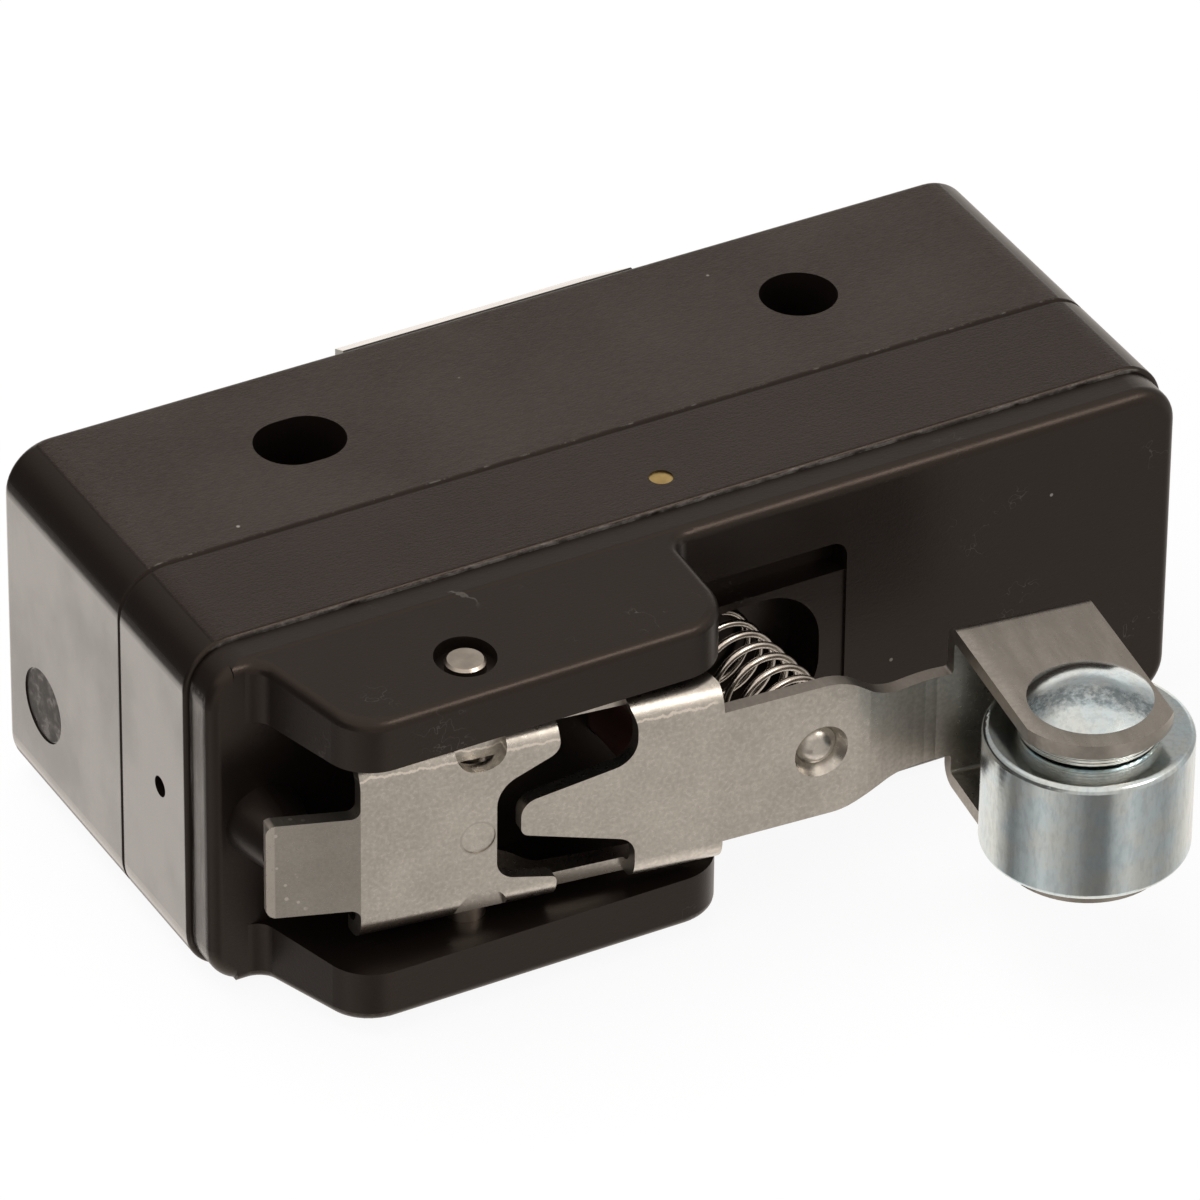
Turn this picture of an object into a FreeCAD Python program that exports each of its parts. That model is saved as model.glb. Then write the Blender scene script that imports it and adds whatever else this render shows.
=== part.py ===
import FreeCAD, Part
import math
import os

# Roller-lever snap-action switch lying on one of its large side faces.
# X runs along the case, -Y faces the lever, +Y faces the terminals, Z is the case thickness.
# The origin lies midway between the two mounting holes, in the plane of the lower side face.

# Case
CASE_LENGTH = 49.3
CASE_THICKNESS = 17.5
CASE_CORNER_R = 2.3
BACK_Y = 5.7
SEAM_Y = -5.85
FRONT_Y = -14.0
STEP_DEPTH = 1.85
STEP_Y = FRONT_Y + STEP_DEPTH
STEP_INSET = 0.25
STEP_EDGE_R = 0.2
SEAM_CHAMFER = 0.12
BACK_EDGE_R = 0.5
FRONT_EDGE_R = 0.6
MID_Z = CASE_THICKNESS / 2.0
HALF_LENGTH = CASE_LENGTH / 2.0

# Mounting holes
HOLE_X = 12.7
HOLE_R = 1.8
SLOT_LENGTH = 4.3

# Hollow for the snap mechanism
CAVITY_HALF_HEIGHT = 6.4
CAVITY_END_GAP = 0.3
CAVITY_BACK_GAP = 0.2
CAVITY_FRONT_WALL = 1.8
CAVITY_FRONT_Y = FRONT_Y + CAVITY_FRONT_WALL

# Raised centre block on the terminal side
BLOCK_LEFT_X = -8.0
BLOCK_RIGHT_X = 7.2
BLOCK_HEIGHT = 4.2
BLOCK_Y = BACK_Y + BLOCK_HEIGHT
BLOCK_ROOT_INSET = 0.15
BLOCK_TIP_INSET = 3.03
BLOCK_LEFT_DRAFT = 2.2
BLOCK_RIGHT_DRAFT = 0.1
BLOCK_SINK = 1.0

# Lever pivot
PIVOT_END_DISTANCE = 10.95
PIVOT_HEIGHT = 3.45
PIVOT_X = -HALF_LENGTH + PIVOT_END_DISTANCE
PIVOT_Y = FRONT_Y - PIVOT_HEIGHT
PIN_R = 0.93
PIN_RECESS = 0.45
PIN_COUNTERBORE_R = 1.4
PIN_COUNTERBORE_DEPTH = 0.95
PIN_CHAMFER = 0.12
PIN_RUNNING_CLEARANCE = 0.05

# Cheeks that carry the lever
CHANNEL_HALF_WIDTH = 4.8
CHANNEL_SIDE_GAP = 0.6
CHEEK_THICKNESS = MID_Z - CHANNEL_HALF_WIDTH - CHANNEL_SIDE_GAP
CHEEK_REACH = 2.6
CHEEK_FRONT_Y = PIVOT_Y - CHEEK_REACH
CHEEK_LEFT_RUN = 8.25
CHEEK_LEFT_SLOPE = 1.7
CHEEK_RIGHT_RUN = 12.1
CHEEK_LEFT_ROOT_X = PIVOT_X - CHEEK_LEFT_RUN
CHEEK_LEFT_TIP_X = CHEEK_LEFT_ROOT_X + CHEEK_LEFT_SLOPE
CHEEK_RIGHT_X = PIVOT_X + CHEEK_RIGHT_RUN
CHEEK_LEFT_R = 2.3
CHEEK_RIGHT_R = 2.4
CHEEK_ROOT_R = 0.9
CHEEK_ROOT_RUN = 1.2
CHEEK_SINK = 0.6
CHEEK_DRAFT = 0.55
CHEEK_EDGE_R = 0.5

# Lever stamping, drawn with the pivot at its origin and turned into the free position
LEVER_TILT = 7.3
SHEET = 0.7
WEB_Y = -1.79
CHANNEL_LEFT_X = -5.5
CHANNEL_RIGHT_X = 11.45
BEND_R = 1.35
FLANGE_END_Y = 0.25
FLANGE_CORNER_R = 0.5
EAR_R = 2.3
EAR_CORNER_R = 1.8
EAR_ROOT_X = 3.4
EAR_ROOT_R = 0.9
EAR_RISE = 0.4
TAB_LENGTH = 4.15
TAB_ANGLE = 12.0
TAB_WIDTH = 4.9
TAB_SHIFT = -0.35
TAB_CORNER_R = 0.45
BLADE_WIDTH = 6.9
BLADE_SHIFT = 0.05
BLADE_RUN = 5.9
SHOULDER_X = CHANNEL_RIGHT_X + BLADE_RUN
BLADE_SLOPE = 0.0637
SHOULDER_LOW_RUN = 2.55
SHOULDER_HIGH_RUN = 1.95
SHOULDER_R = 3.0
NECK_RUN = 5.45
NECK_BEND_GAP = 0.65
NECK_BEND_STEPS = 8
NECK_WIDTH = 4.4
NECK_SHIFT = -0.15
NECK_CORNER_R = 0.2
NOTCH_X = 0.15
NOTCH_R = 1.15
NOTCH_CORNER_R = 1.1
NOTCH_FLARE = 0.25
NOTCH_DEPTH_INTO_WEB = 0.25
BOSS_SHOULDER_GAP = 1.15
BOSS_X = SHOULDER_X - BOSS_SHOULDER_GAP
BOSS_R = 1.3
BOSS_TIP_R = 0.95
BOSS_HEIGHT = 0.55
COIN_X = -0.05
COIN_SHIFT = -0.3
COIN_R = 0.8
COIN_DEPTH = 0.06

# Opening that leaves the pointed tongue: x, height from the middle plane, corner radius
TONGUE_OPENING = [
    (3.78, 8.75, 0),
    (3.78, 3.4, 0.8),
    (0.82, 2.1, 1.5),
    (0.82, -2.65, 1.0),
    (3.62, -3.28, 0.3),
    (3.65, -8.75, 0),
    (7.3, -8.75, 0),
    (7.3, -2.25, 1.0),
    (1.95, -0.65, 0.45),
    (1.95, 1.0, 0.85),
    (7.4, 2.0, 1.3),
    (7.4, 3.85, 2.0),
    (6.9, 5.45, 0),
    (6.9, 8.75, 0),
]

# Fork and roller
FORK_LEFT_X = SHOULDER_X + NECK_RUN
FORK_BEND_RUN = 0.2
FORK_WIDTH = 6.5
FORK_SHIFT = 0.2
FORK_WEB_Y = -0.65
FORK_BEND_R = 0.9
FORK_TIP_R = 3.75
ROLLER_FORK_OFFSET = 3.53
ROLLER_OUTREACH = 6.8
ROLLER_X = FORK_LEFT_X + ROLLER_FORK_OFFSET
ROLLER_Y = FORK_WEB_Y - ROLLER_OUTREACH
ROLLER_R = 4.7
ROLLER_WIDTH = 6.0
ROLLER_EDGE_R = 0.3
ROLLER_BORE_CLEARANCE = 0.06
AXLE_R = 1.6
AXLE_HEAD_R = 2.8
AXLE_HEAD_HEIGHT = 0.95
AXLE_UPSET_R = 2.0
AXLE_UPSET_HEIGHT = 0.6
AXLE_UPSET_EDGE_R = 0.25
WASHER_R = 3.2
WASHER_THICKNESS = 0.82
WASHER_EDGE_R = 0.12
ROLLER_SIDE_GAP = 0.08
PRESS_GAP = 0.02
FORK_SPAN = 2.0 * SHEET + ROLLER_WIDTH + WASHER_THICKNESS + 2.0 * ROLLER_SIDE_GAP + PRESS_GAP
FORK_LOW_Z = MID_Z + FORK_SHIFT - FORK_SPAN / 2.0
FORK_HIGH_Z = FORK_LOW_Z + FORK_SPAN

# Return spring
SPRING_R = 2.12
SPRING_WIRE_R = 0.17
SPRING_WIRE_SIDES = 8
SPRING_COILS = 8.6
SPRING_BOSS_OFFSET = 0.95
SPRING_SEAT_DEPTH = 2.8
SPRING_SEAT_X = PIVOT_X + BOSS_X - SPRING_BOSS_OFFSET
SPRING_SEAT_Y = FRONT_Y + SPRING_SEAT_DEPTH
SPRING_END_GAP = 0.06

# Front face details
POCKET_LEFT_RUN = 2.75
POCKET_RIGHT_RUN = 4.55
POCKET_LEFT_X = SPRING_SEAT_X - POCKET_LEFT_RUN
POCKET_RIGHT_X = SPRING_SEAT_X + POCKET_RIGHT_RUN
POCKET_HALF_HEIGHT = 3.42
POCKET_CORNER_R = 2.9
POCKET_WALL = 1.0
PANEL_CHEEK_GAP = 0.2
PANEL_LEFT_X = CHEEK_RIGHT_X + PANEL_CHEEK_GAP
PANEL_POCKET_GAP = 1.25
PANEL_RIGHT_X = POCKET_RIGHT_X + PANEL_POCKET_GAP
PANEL_HALF_HEIGHT = 3.8
PANEL_RECESS = 0.15
FLANGE_SLOT_CLEARANCE = 0.65
FLANGE_SLOT_DEPTH = 1.3
FLANGE_SLOT_R = 0.8
POST_PIVOT_DISTANCE = 8.05
POST_X = PIVOT_X - POST_PIVOT_DISTANCE
POST_BASE_R = 1.95
POST_TIP_R = 1.2
POST_SINK = 0.5
POST_HEIGHT = 3.6
POST_GAP = 0.05
END_HOLE_Y = -9.66
END_HOLE_R = 0.5
END_HOLE_DEPTH = 1.5
MARK_Y = 2.0
MARK_Z = 5.8
MARK_R = 1.8
MARK_DEPTH = 0.08

# Locating pins in the side walls
LOCATING_PIN_X = 0.05
LOCATING_PIN_Y = -10.04
LOCATING_PIN_R = 0.55
LOCATING_PIN_FLOOR = 0.35
LOCATING_PIN_LENGTH = MID_Z - CAVITY_HALF_HEIGHT - LOCATING_PIN_FLOOR
LOCATING_PIN_RECESS = 0.08

# Plunger
PLUNGER_PIVOT_DISTANCE = 9.1
PLUNGER_X = PIVOT_X + PLUNGER_PIVOT_DISTANCE
PLUNGER_R = 1.1
PLUNGER_TIP_R = 0.65
PLUNGER_COLLAR_R = 1.9
PLUNGER_COLLAR = 0.8
PLUNGER_RUNNING_CLEARANCE = 0.06
PLUNGER_LEVER_GAP = 0.05

# Terminals
TERMINAL_SHEET = 0.8
TERMINAL_END_DISTANCE = 6.75
TERMINAL_X = HALF_LENGTH - TERMINAL_END_DISTANCE
TERMINAL_HALF_LENGTH = 3.9
TERMINAL_HALF_WIDTH = 4.2
TERMINAL_CORNER_R = 0.6
POST_HALF_WIDTH = 1.5
POST_OFFSET = 3.2
POST_CLEARANCE = 0.05
SCREW_R = 1.7
SCREW_HEAD_R = 3.3
SCREW_HEAD_HEIGHT = 2.0
SCREW_EDGE_R = 0.6
SCREW_TIP_CHAMFER = 0.3
SCREW_TIP_GAP = 0.4
SCREW_LENGTH = 5.2
SCREW_SLOT_WIDTH = 0.9
SCREW_SLOT_DEPTH = 0.9
SCREW_CLEARANCE = 0.03
CUP_R = 3.7
CUP_THICKNESS = 0.5
CUP_HEIGHT = 1.1
CUP_CORNER_R = 0.8
CUP_DISH_MARGIN = 0.2
CUP_HOLE_CLEARANCE = 0.1

# Snap mechanism
BLADE_THICKNESS = 0.25
SNAP_BLADE_SEAM_GAP = 1.05
SNAP_BLADE_Y = SEAM_Y - SNAP_BLADE_SEAM_GAP
SNAP_BLADE_HALF_WIDTH = 3.2
SNAP_BLADE_HEEL = 2.0
SNAP_BLADE_TOE = 0.4
SNAP_BLADE_HEEL_R = 0.5
SNAP_BLADE_TOE_R = 1.4
SNAP_SLOT_HEEL = 4.9
SNAP_SLOT_TOE = 5.5
SNAP_SLOT_OFFSET = 1.45
SNAP_SLOT_WIDTH = 0.6
SNAP_SLOT_END_R = 0.25
RIVET_OFFSET = 0.5
RIVET_X = -TERMINAL_X - RIVET_OFFSET
RIVET_R = 0.8
RIVET_HEAD_R = 1.4
RIVET_HEAD_HEIGHT = 0.5
CONTACT_OFFSET = 1.9
CONTACT_X = TERMINAL_X - CONTACT_OFFSET
CONTACT_R = 1.6
CONTACT_NECK_R = 0.8
CONTACT_FACE = 0.6
CONTACT_NO_FACE = 0.42
CONTACT_TRAVEL = 1.0
CONTACT_GAP = 0.03
CONTACT_ARM_REACH = 1.8
BRIDGE_OFFSET = 8.0
BRIDGE_LEFT_X = CONTACT_X - BRIDGE_OFFSET
BRIDGE_WIDTH = 1.5
BRIDGE_THICKNESS = 1.0
BRIDGE_BLADE_GAP = 0.8

# How far a cutting shape runs past the face it opens
OVERRUN = 1.0

# Places closer than this count as one
SAME_PLACE = 1e-5

X_AXIS = FreeCAD.Vector(1, 0, 0)
Y_AXIS = FreeCAD.Vector(0, 1, 0)
Z_AXIS = FreeCAD.Vector(0, 0, 1)
ORIGIN = FreeCAD.Vector(0, 0, 0)


def box(x0, x1, y0, y1, z0, z1):
    """Axis-aligned block between two corners."""
    corner = FreeCAD.Vector(x0, y0, z0)
    return Part.makeBox(x1 - x0, y1 - y0, z1 - z0, corner)


def rod_x(y, z, radius, x0, x1):
    """Round bar along X."""
    return Part.makeCylinder(radius, x1 - x0, FreeCAD.Vector(x0, y, z), X_AXIS)


def rod_y(x, z, radius, y0, y1):
    """Round bar along Y."""
    return Part.makeCylinder(radius, y1 - y0, FreeCAD.Vector(x, y0, z), Y_AXIS)


def rod_z(x, y, radius, z0, z1):
    """Round bar along Z."""
    return Part.makeCylinder(radius, z1 - z0, FreeCAD.Vector(x, y, z0), Z_AXIS)


def cone_y(x, z, y0, r0, y1, r1):
    """Round taper along Y from radius r0 at y0 to radius r1 at y1."""
    return Part.makeCone(r0, r1, y1 - y0, FreeCAD.Vector(x, y0, z), Y_AXIS)


def rounded_wire(corners):
    """Closed wire through corners given as (point, radius), each corner rounded by its radius."""
    starts = []
    edges = []
    count = len(corners)
    for index in range(count):
        point, radius = corners[index]
        before = corners[index - 1][0]
        after = corners[(index + 1) % count][0]
        if radius <= 0.0:
            starts.append((point, point))
            continue
        to_before = (before - point).normalize()
        to_after = (after - point).normalize()
        half_angle = to_before.getAngle(to_after) / 2.0
        reach = radius / math.tan(half_angle)
        first = point + to_before * reach
        last = point + to_after * reach
        bisector = (to_before + to_after).normalize()
        centre = point + bisector * (radius / math.sin(half_angle))
        middle = centre - bisector * radius
        edges.append(Part.Arc(first, middle, last).toShape())
        starts.append((first, last))
    for index in range(count):
        leave = starts[index][1]
        arrive = starts[(index + 1) % count][0]
        if leave.distanceToPoint(arrive) > SAME_PLACE:
            edges.append(Part.makeLine(leave, arrive))
    return Part.Wire(Part.__sortEdges__(edges))


def plate_xz(corners, y0, y1):
    """Plate with an outline of (x, z, radius) corners, thick along Y."""
    points = [(FreeCAD.Vector(x, y0, z), radius) for x, z, radius in corners]
    face = Part.Face(rounded_wire(points))
    return face.extrude(FreeCAD.Vector(0, y1 - y0, 0))


def plate_xy(corners, z0, z1):
    """Plate with an outline of (x, y, radius) corners, thick along Z."""
    points = [(FreeCAD.Vector(x, y, z0), radius) for x, y, radius in corners]
    face = Part.Face(rounded_wire(points))
    return face.extrude(FreeCAD.Vector(0, 0, z1 - z0))


def plate_yz(corners, x0, x1):
    """Plate with an outline of (y, z, radius) corners, thick along X."""
    points = [(FreeCAD.Vector(x0, y, z), radius) for y, z, radius in corners]
    face = Part.Face(rounded_wire(points))
    return face.extrude(FreeCAD.Vector(x1 - x0, 0, 0))


def mirrored_in_thickness(shape):
    """The same shape on the other side of the case's middle plane."""
    return shape.mirror(FreeCAD.Vector(0, 0, MID_Z), Z_AXIS)


def edges_on_y(shape, y):
    """Edges of a shape that lie wholly in one plane of constant Y."""
    found = []
    for edge in shape.Edges:
        bounds = edge.BoundBox
        if abs(bounds.YMin - y) < SAME_PLACE and abs(bounds.YMax - y) < SAME_PLACE:
            found.append(edge)
    return found


def edges_on_z(shape, z):
    """Edges of a shape that lie wholly in one plane of constant Z."""
    found = []
    for edge in shape.Edges:
        bounds = edge.BoundBox
        if abs(bounds.ZMin - z) < SAME_PLACE and abs(bounds.ZMax - z) < SAME_PLACE:
            found.append(edge)
    return found


def case_slab(y0, y1, inset):
    """Slice of the case's rounded outline between two planes of constant Y."""
    right = HALF_LENGTH - inset
    top = CASE_THICKNESS - inset
    radius = CASE_CORNER_R - inset
    corners = [
        (-right, inset, radius),
        (right, inset, radius),
        (right, top, radius),
        (-right, top, radius),
    ]
    return plate_xz(corners, y0, y1)


def cavity(y0, y1):
    """Part of the hollow for the snap mechanism."""
    half_length = TERMINAL_X + POST_OFFSET + TERMINAL_SHEET / 2.0 + CAVITY_END_GAP
    return box(-half_length, half_length, y0, y1, MID_Z - CAVITY_HALF_HEIGHT, MID_Z + CAVITY_HALF_HEIGHT)


def cavity_back_y():
    """Y of the hollow's back wall, just behind the open contact's arm."""
    return no_contact_y() + CONTACT_NO_FACE + TERMINAL_SHEET + CAVITY_BACK_GAP


def centre_block():
    """Raised block between the outer terminals, thinner and shorter towards its end."""
    profile = [
        (BACK_Y - BLOCK_SINK, BLOCK_ROOT_INSET, 0),
        (BACK_Y, BLOCK_ROOT_INSET, 0),
        (BLOCK_Y, BLOCK_TIP_INSET, 0),
        (BLOCK_Y, CASE_THICKNESS - BLOCK_TIP_INSET, 0),
        (BACK_Y, CASE_THICKNESS - BLOCK_ROOT_INSET, 0),
        (BACK_Y - BLOCK_SINK, CASE_THICKNESS - BLOCK_ROOT_INSET, 0),
    ]
    body = plate_yz(profile, BLOCK_LEFT_X, BLOCK_RIGHT_X)
    plan = [
        (BLOCK_LEFT_X, BACK_Y - BLOCK_SINK, 0),
        (BLOCK_RIGHT_X, BACK_Y - BLOCK_SINK, 0),
        (BLOCK_RIGHT_X - BLOCK_RIGHT_DRAFT, BLOCK_Y, 0),
        (BLOCK_LEFT_X + BLOCK_LEFT_DRAFT, BLOCK_Y, 0),
    ]
    return body.common(plate_xy(plan, 0, CASE_THICKNESS))


def terminal_places():
    """Name, centre x, seat y and post x of each terminal."""
    centre_x = (BLOCK_LEFT_X + BLOCK_RIGHT_X) / 2.0
    return [
        ("common", -TERMINAL_X, BACK_Y, -TERMINAL_X - POST_OFFSET),
        ("nc", centre_x, BLOCK_Y, centre_x + POST_OFFSET),
        ("no", TERMINAL_X, BACK_Y, TERMINAL_X + POST_OFFSET),
    ]


def post_slot(post_x, y0, y1, clearance):
    """Rectangular bar the section of a terminal's post, grown by a clearance."""
    half = TERMINAL_SHEET / 2.0 + clearance
    reach = POST_HALF_WIDTH + clearance
    return box(post_x - half, post_x + half, y0, y1, MID_Z - reach, MID_Z + reach)


def slotted_hole():
    """Left mounting hole, lengthened along the case."""
    centre_offset = SLOT_LENGTH / 2.0 - HOLE_R
    z0 = -OVERRUN
    z1 = CASE_THICKNESS + OVERRUN
    left = rod_z(-HOLE_X - centre_offset, 0, HOLE_R, z0, z1)
    right = rod_z(-HOLE_X + centre_offset, 0, HOLE_R, z0, z1)
    middle = box(-HOLE_X - centre_offset, -HOLE_X + centre_offset, -HOLE_R, HOLE_R, z0, z1)
    return left.fuse(right).fuse(middle).removeSplitter()


def make_base():
    """Terminal-side half of the case, with the mounting holes."""
    body = case_slab(SEAM_Y, BACK_Y, 0.0)
    body = body.makeFillet(BACK_EDGE_R, edges_on_y(body, BACK_Y))
    body = body.makeChamfer(SEAM_CHAMFER, edges_on_y(body, SEAM_Y))
    body = body.fuse(centre_block())
    body = body.cut(cavity(SEAM_Y, cavity_back_y()))
    body = body.cut(rod_z(HOLE_X, 0, HOLE_R, -OVERRUN, CASE_THICKNESS + OVERRUN))
    body = body.cut(slotted_hole())
    for name, centre_x, seat_y, post_x in terminal_places():
        screw_end = seat_y - SCREW_LENGTH
        screw_hole_r = SCREW_R + SCREW_CLEARANCE
        body = body.cut(rod_y(centre_x, MID_Z, screw_hole_r, screw_end, seat_y + OVERRUN))
        body = body.cut(post_slot(post_x, cavity_back_y() - OVERRUN, seat_y + OVERRUN, POST_CLEARANCE))
    mark = rod_x(MARK_Y, MARK_Z, MARK_R, -HALF_LENGTH - OVERRUN, -HALF_LENGTH + MARK_DEPTH)
    return body.cut(mark).removeSplitter()


def cheek(z0, z1):
    """Lower cheek's plate with its root running into the case, thinner towards its front."""
    corners = [
        (CHEEK_LEFT_ROOT_X - CHEEK_ROOT_RUN, FRONT_Y + CHEEK_SINK, 0),
        (CHEEK_LEFT_ROOT_X - CHEEK_ROOT_RUN, FRONT_Y, 0),
        (CHEEK_LEFT_ROOT_X, FRONT_Y, CHEEK_ROOT_R),
        (CHEEK_LEFT_TIP_X, CHEEK_FRONT_Y, CHEEK_LEFT_R),
        (CHEEK_RIGHT_X, CHEEK_FRONT_Y, CHEEK_RIGHT_R),
        (CHEEK_RIGHT_X, FRONT_Y, CHEEK_ROOT_R),
        (CHEEK_RIGHT_X + CHEEK_ROOT_RUN, FRONT_Y, 0),
        (CHEEK_RIGHT_X + CHEEK_ROOT_RUN, FRONT_Y + CHEEK_SINK, 0),
    ]
    draft = [
        (FRONT_Y + OVERRUN, z0, 0),
        (CHEEK_FRONT_Y, z0 + CHEEK_DRAFT, 0),
        (CHEEK_FRONT_Y - OVERRUN, z0 + CHEEK_DRAFT, 0),
        (CHEEK_FRONT_Y - OVERRUN, z0 - OVERRUN, 0),
        (FRONT_Y + OVERRUN, z0 - OVERRUN, 0),
    ]
    return plate_xy(corners, z0, z1).cut(plate_yz(draft, -HALF_LENGTH, HALF_LENGTH))


def outer_rim(arm):
    """Edges round the lower cheek's tapered outer face, apart from its root."""
    outer = min(arm.Faces, key=lambda face: face.CenterOfMass.z)
    return [edge for edge in outer.Edges if edge.BoundBox.YMin < FRONT_Y - SAME_PLACE]


def front_portion():
    """Stepped-in front of the cover with both cheeks, before its hollows are cut."""
    low_z = STEP_INSET
    body = case_slab(FRONT_Y, STEP_Y, STEP_INSET)
    body = body.makeFillet(FRONT_EDGE_R, edges_on_y(body, FRONT_Y))
    arm = cheek(low_z, CHEEK_THICKNESS)
    arm = arm.makeFillet(CHEEK_EDGE_R, outer_rim(arm))
    arm = arm.common(case_slab(CHEEK_FRONT_Y - OVERRUN, FRONT_Y + CHEEK_SINK, STEP_INSET))
    return body.fuse(arm).fuse(mirrored_in_thickness(arm))


def stop_post():
    """Tapered post behind the lever's tab, cut off parallel to the tab's back."""
    base_y = FRONT_Y + POST_SINK
    post = cone_y(POST_X, MID_Z, base_y - POST_HEIGHT, POST_TIP_R, base_y, POST_BASE_R)
    return post.cut(space_before_tab(POST_GAP))


def pocket(y0, y1, grow):
    """Rounded square hollow for the return spring, grown by a wall thickness."""
    half = POCKET_HALF_HEIGHT + grow
    radius = POCKET_CORNER_R + grow
    corners = [
        (POCKET_LEFT_X - grow, MID_Z - half, radius),
        (POCKET_RIGHT_X + grow, MID_Z - half, radius),
        (POCKET_RIGHT_X + grow, MID_Z + half, radius),
        (POCKET_LEFT_X - grow, MID_Z + half, radius),
    ]
    return plate_xz(corners, y0, y1)


def flange_slot():
    """Shallow slot in the front face that clears the upper flange when the lever is pressed."""
    low_z = MID_Z + PANEL_HALF_HEIGHT
    high_z = MID_Z + CHANNEL_HALF_WIDTH + FLANGE_SLOT_CLEARANCE
    corners = [
        (PANEL_LEFT_X, low_z, 0),
        (PANEL_RIGHT_X, low_z, 0),
        (PANEL_RIGHT_X, high_z, FLANGE_SLOT_R),
        (PANEL_LEFT_X, high_z, 0),
    ]
    return plate_xz(corners, FRONT_Y - OVERRUN, FRONT_Y + FLANGE_SLOT_DEPTH)


def recessed_panel():
    """Slightly sunk flat round the spring pocket."""
    return box(PANEL_LEFT_X, PANEL_RIGHT_X, FRONT_Y - OVERRUN, FRONT_Y + PANEL_RECESS,
               MID_Z - PANEL_HALF_HEIGHT, MID_Z + PANEL_HALF_HEIGHT)


def pivot_holes():
    """Holes for the pivot pin through both cheeks, widened near their outer faces."""
    bore = rod_z(PIVOT_X, PIVOT_Y, PIN_R, -OVERRUN, CASE_THICKNESS + OVERRUN)
    seat = rod_z(PIVOT_X, PIVOT_Y, PIN_COUNTERBORE_R, -OVERRUN, STEP_INSET + PIN_COUNTERBORE_DEPTH)
    return bore.fuse(seat).fuse(mirrored_in_thickness(seat))


def make_cover():
    """Lever-side half of the case with cheeks, stop post, spring pocket and plunger bore."""
    body = case_slab(STEP_Y, SEAM_Y, 0.0)
    body = body.makeChamfer(SEAM_CHAMFER, edges_on_y(body, SEAM_Y))
    body = body.makeFillet(STEP_EDGE_R, edges_on_y(body, STEP_Y))
    body = body.fuse(front_portion())
    body = body.fuse(stop_post())
    body = body.cut(cavity(CAVITY_FRONT_Y, SEAM_Y))
    body = body.fuse(pocket(CAVITY_FRONT_Y - POCKET_WALL / 2.0, SPRING_SEAT_Y + POCKET_WALL, POCKET_WALL))
    body = body.cut(recessed_panel())
    body = body.cut(flange_slot())
    body = body.cut(mirrored_in_thickness(flange_slot()))
    body = body.cut(pocket(FRONT_Y - OVERRUN, SPRING_SEAT_Y, 0.0))
    bore_r = PLUNGER_R + PLUNGER_RUNNING_CLEARANCE
    body = body.cut(rod_y(PLUNGER_X, MID_Z, bore_r, FRONT_Y - OVERRUN, SEAM_Y))
    body = body.cut(pivot_holes())
    pin_bottom = LOCATING_PIN_RECESS + LOCATING_PIN_LENGTH
    pin_hole = rod_z(LOCATING_PIN_X, LOCATING_PIN_Y, LOCATING_PIN_R, -OVERRUN, pin_bottom)
    body = body.cut(pin_hole)
    body = body.cut(mirrored_in_thickness(pin_hole))
    hole = rod_x(END_HOLE_Y, MID_Z, END_HOLE_R, -HALF_LENGTH - OVERRUN, -HALF_LENGTH + END_HOLE_DEPTH)
    return body.cut(hole).removeSplitter()


def neck_points():
    """Points of the lever's outer face in plan where the neck swings back to the fork's plane."""
    start_x = SHOULDER_X + NECK_BEND_GAP
    start_y = WEB_Y + BLADE_SLOPE * (start_x - CHANNEL_RIGHT_X)
    run = FORK_LEFT_X - FORK_BEND_RUN - start_x
    points = []
    for step in range(NECK_BEND_STEPS + 1):
        share = step / NECK_BEND_STEPS
        swing = share * share * (3.0 - 2.0 * share)
        lean = BLADE_SLOPE * run * share * (1.0 - share)
        points.append((start_x + run * share, start_y + lean + (FORK_WEB_Y - start_y) * swing))
    return points


def web_points():
    """Corner points of the lever's outer face in plan, from the tab's end to the fork."""
    drop = TAB_LENGTH * math.sin(math.radians(TAB_ANGLE))
    run = TAB_LENGTH * math.cos(math.radians(TAB_ANGLE))
    channel_points = [
        (CHANNEL_LEFT_X - run, WEB_Y + drop),
        (CHANNEL_LEFT_X, WEB_Y),
        (CHANNEL_RIGHT_X, WEB_Y),
    ]
    return channel_points + neck_points() + [(FORK_LEFT_X + FORK_WIDTH + OVERRUN, FORK_WEB_Y)]


def space_before_tab(clearance):
    """Everything on the outer side of the tab's back, in the case's frame, to trim the post."""
    points = web_points()
    tab_end = FreeCAD.Vector(points[0][0], points[0][1], 0)
    tab_root = FreeCAD.Vector(points[1][0], points[1][1], 0)
    along = (tab_root - tab_end).normalize()
    back = FreeCAD.Vector(-along.y, along.x, 0)
    reach = 3.0 * TAB_LENGTH
    middle = tab_end + back * (SHEET + clearance)
    start = middle - along * reach
    stop = middle + along * reach
    corners = [start, stop, stop - back * reach, start - back * reach]
    plan = [(corner.x, corner.y, 0) for corner in corners]
    return into_free_position(plate_xy(plan, 0, CASE_THICKNESS))


def into_free_position(shape):
    """Turn a shape drawn about the pivot into the lever's free position in the case's frame."""
    turned = shape.copy()
    turned.rotate(ORIGIN, Z_AXIS, -LEVER_TILT)
    turned.translate(FreeCAD.Vector(PIVOT_X, PIVOT_Y, 0))
    return turned


def lever_point(x, y, z):
    """Point given about the pivot, in the case's frame."""
    angle = math.radians(-LEVER_TILT)
    turned_x = x * math.cos(angle) - y * math.sin(angle)
    turned_y = x * math.sin(angle) + y * math.cos(angle)
    return FreeCAD.Vector(PIVOT_X + turned_x, PIVOT_Y + turned_y, z)


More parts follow.
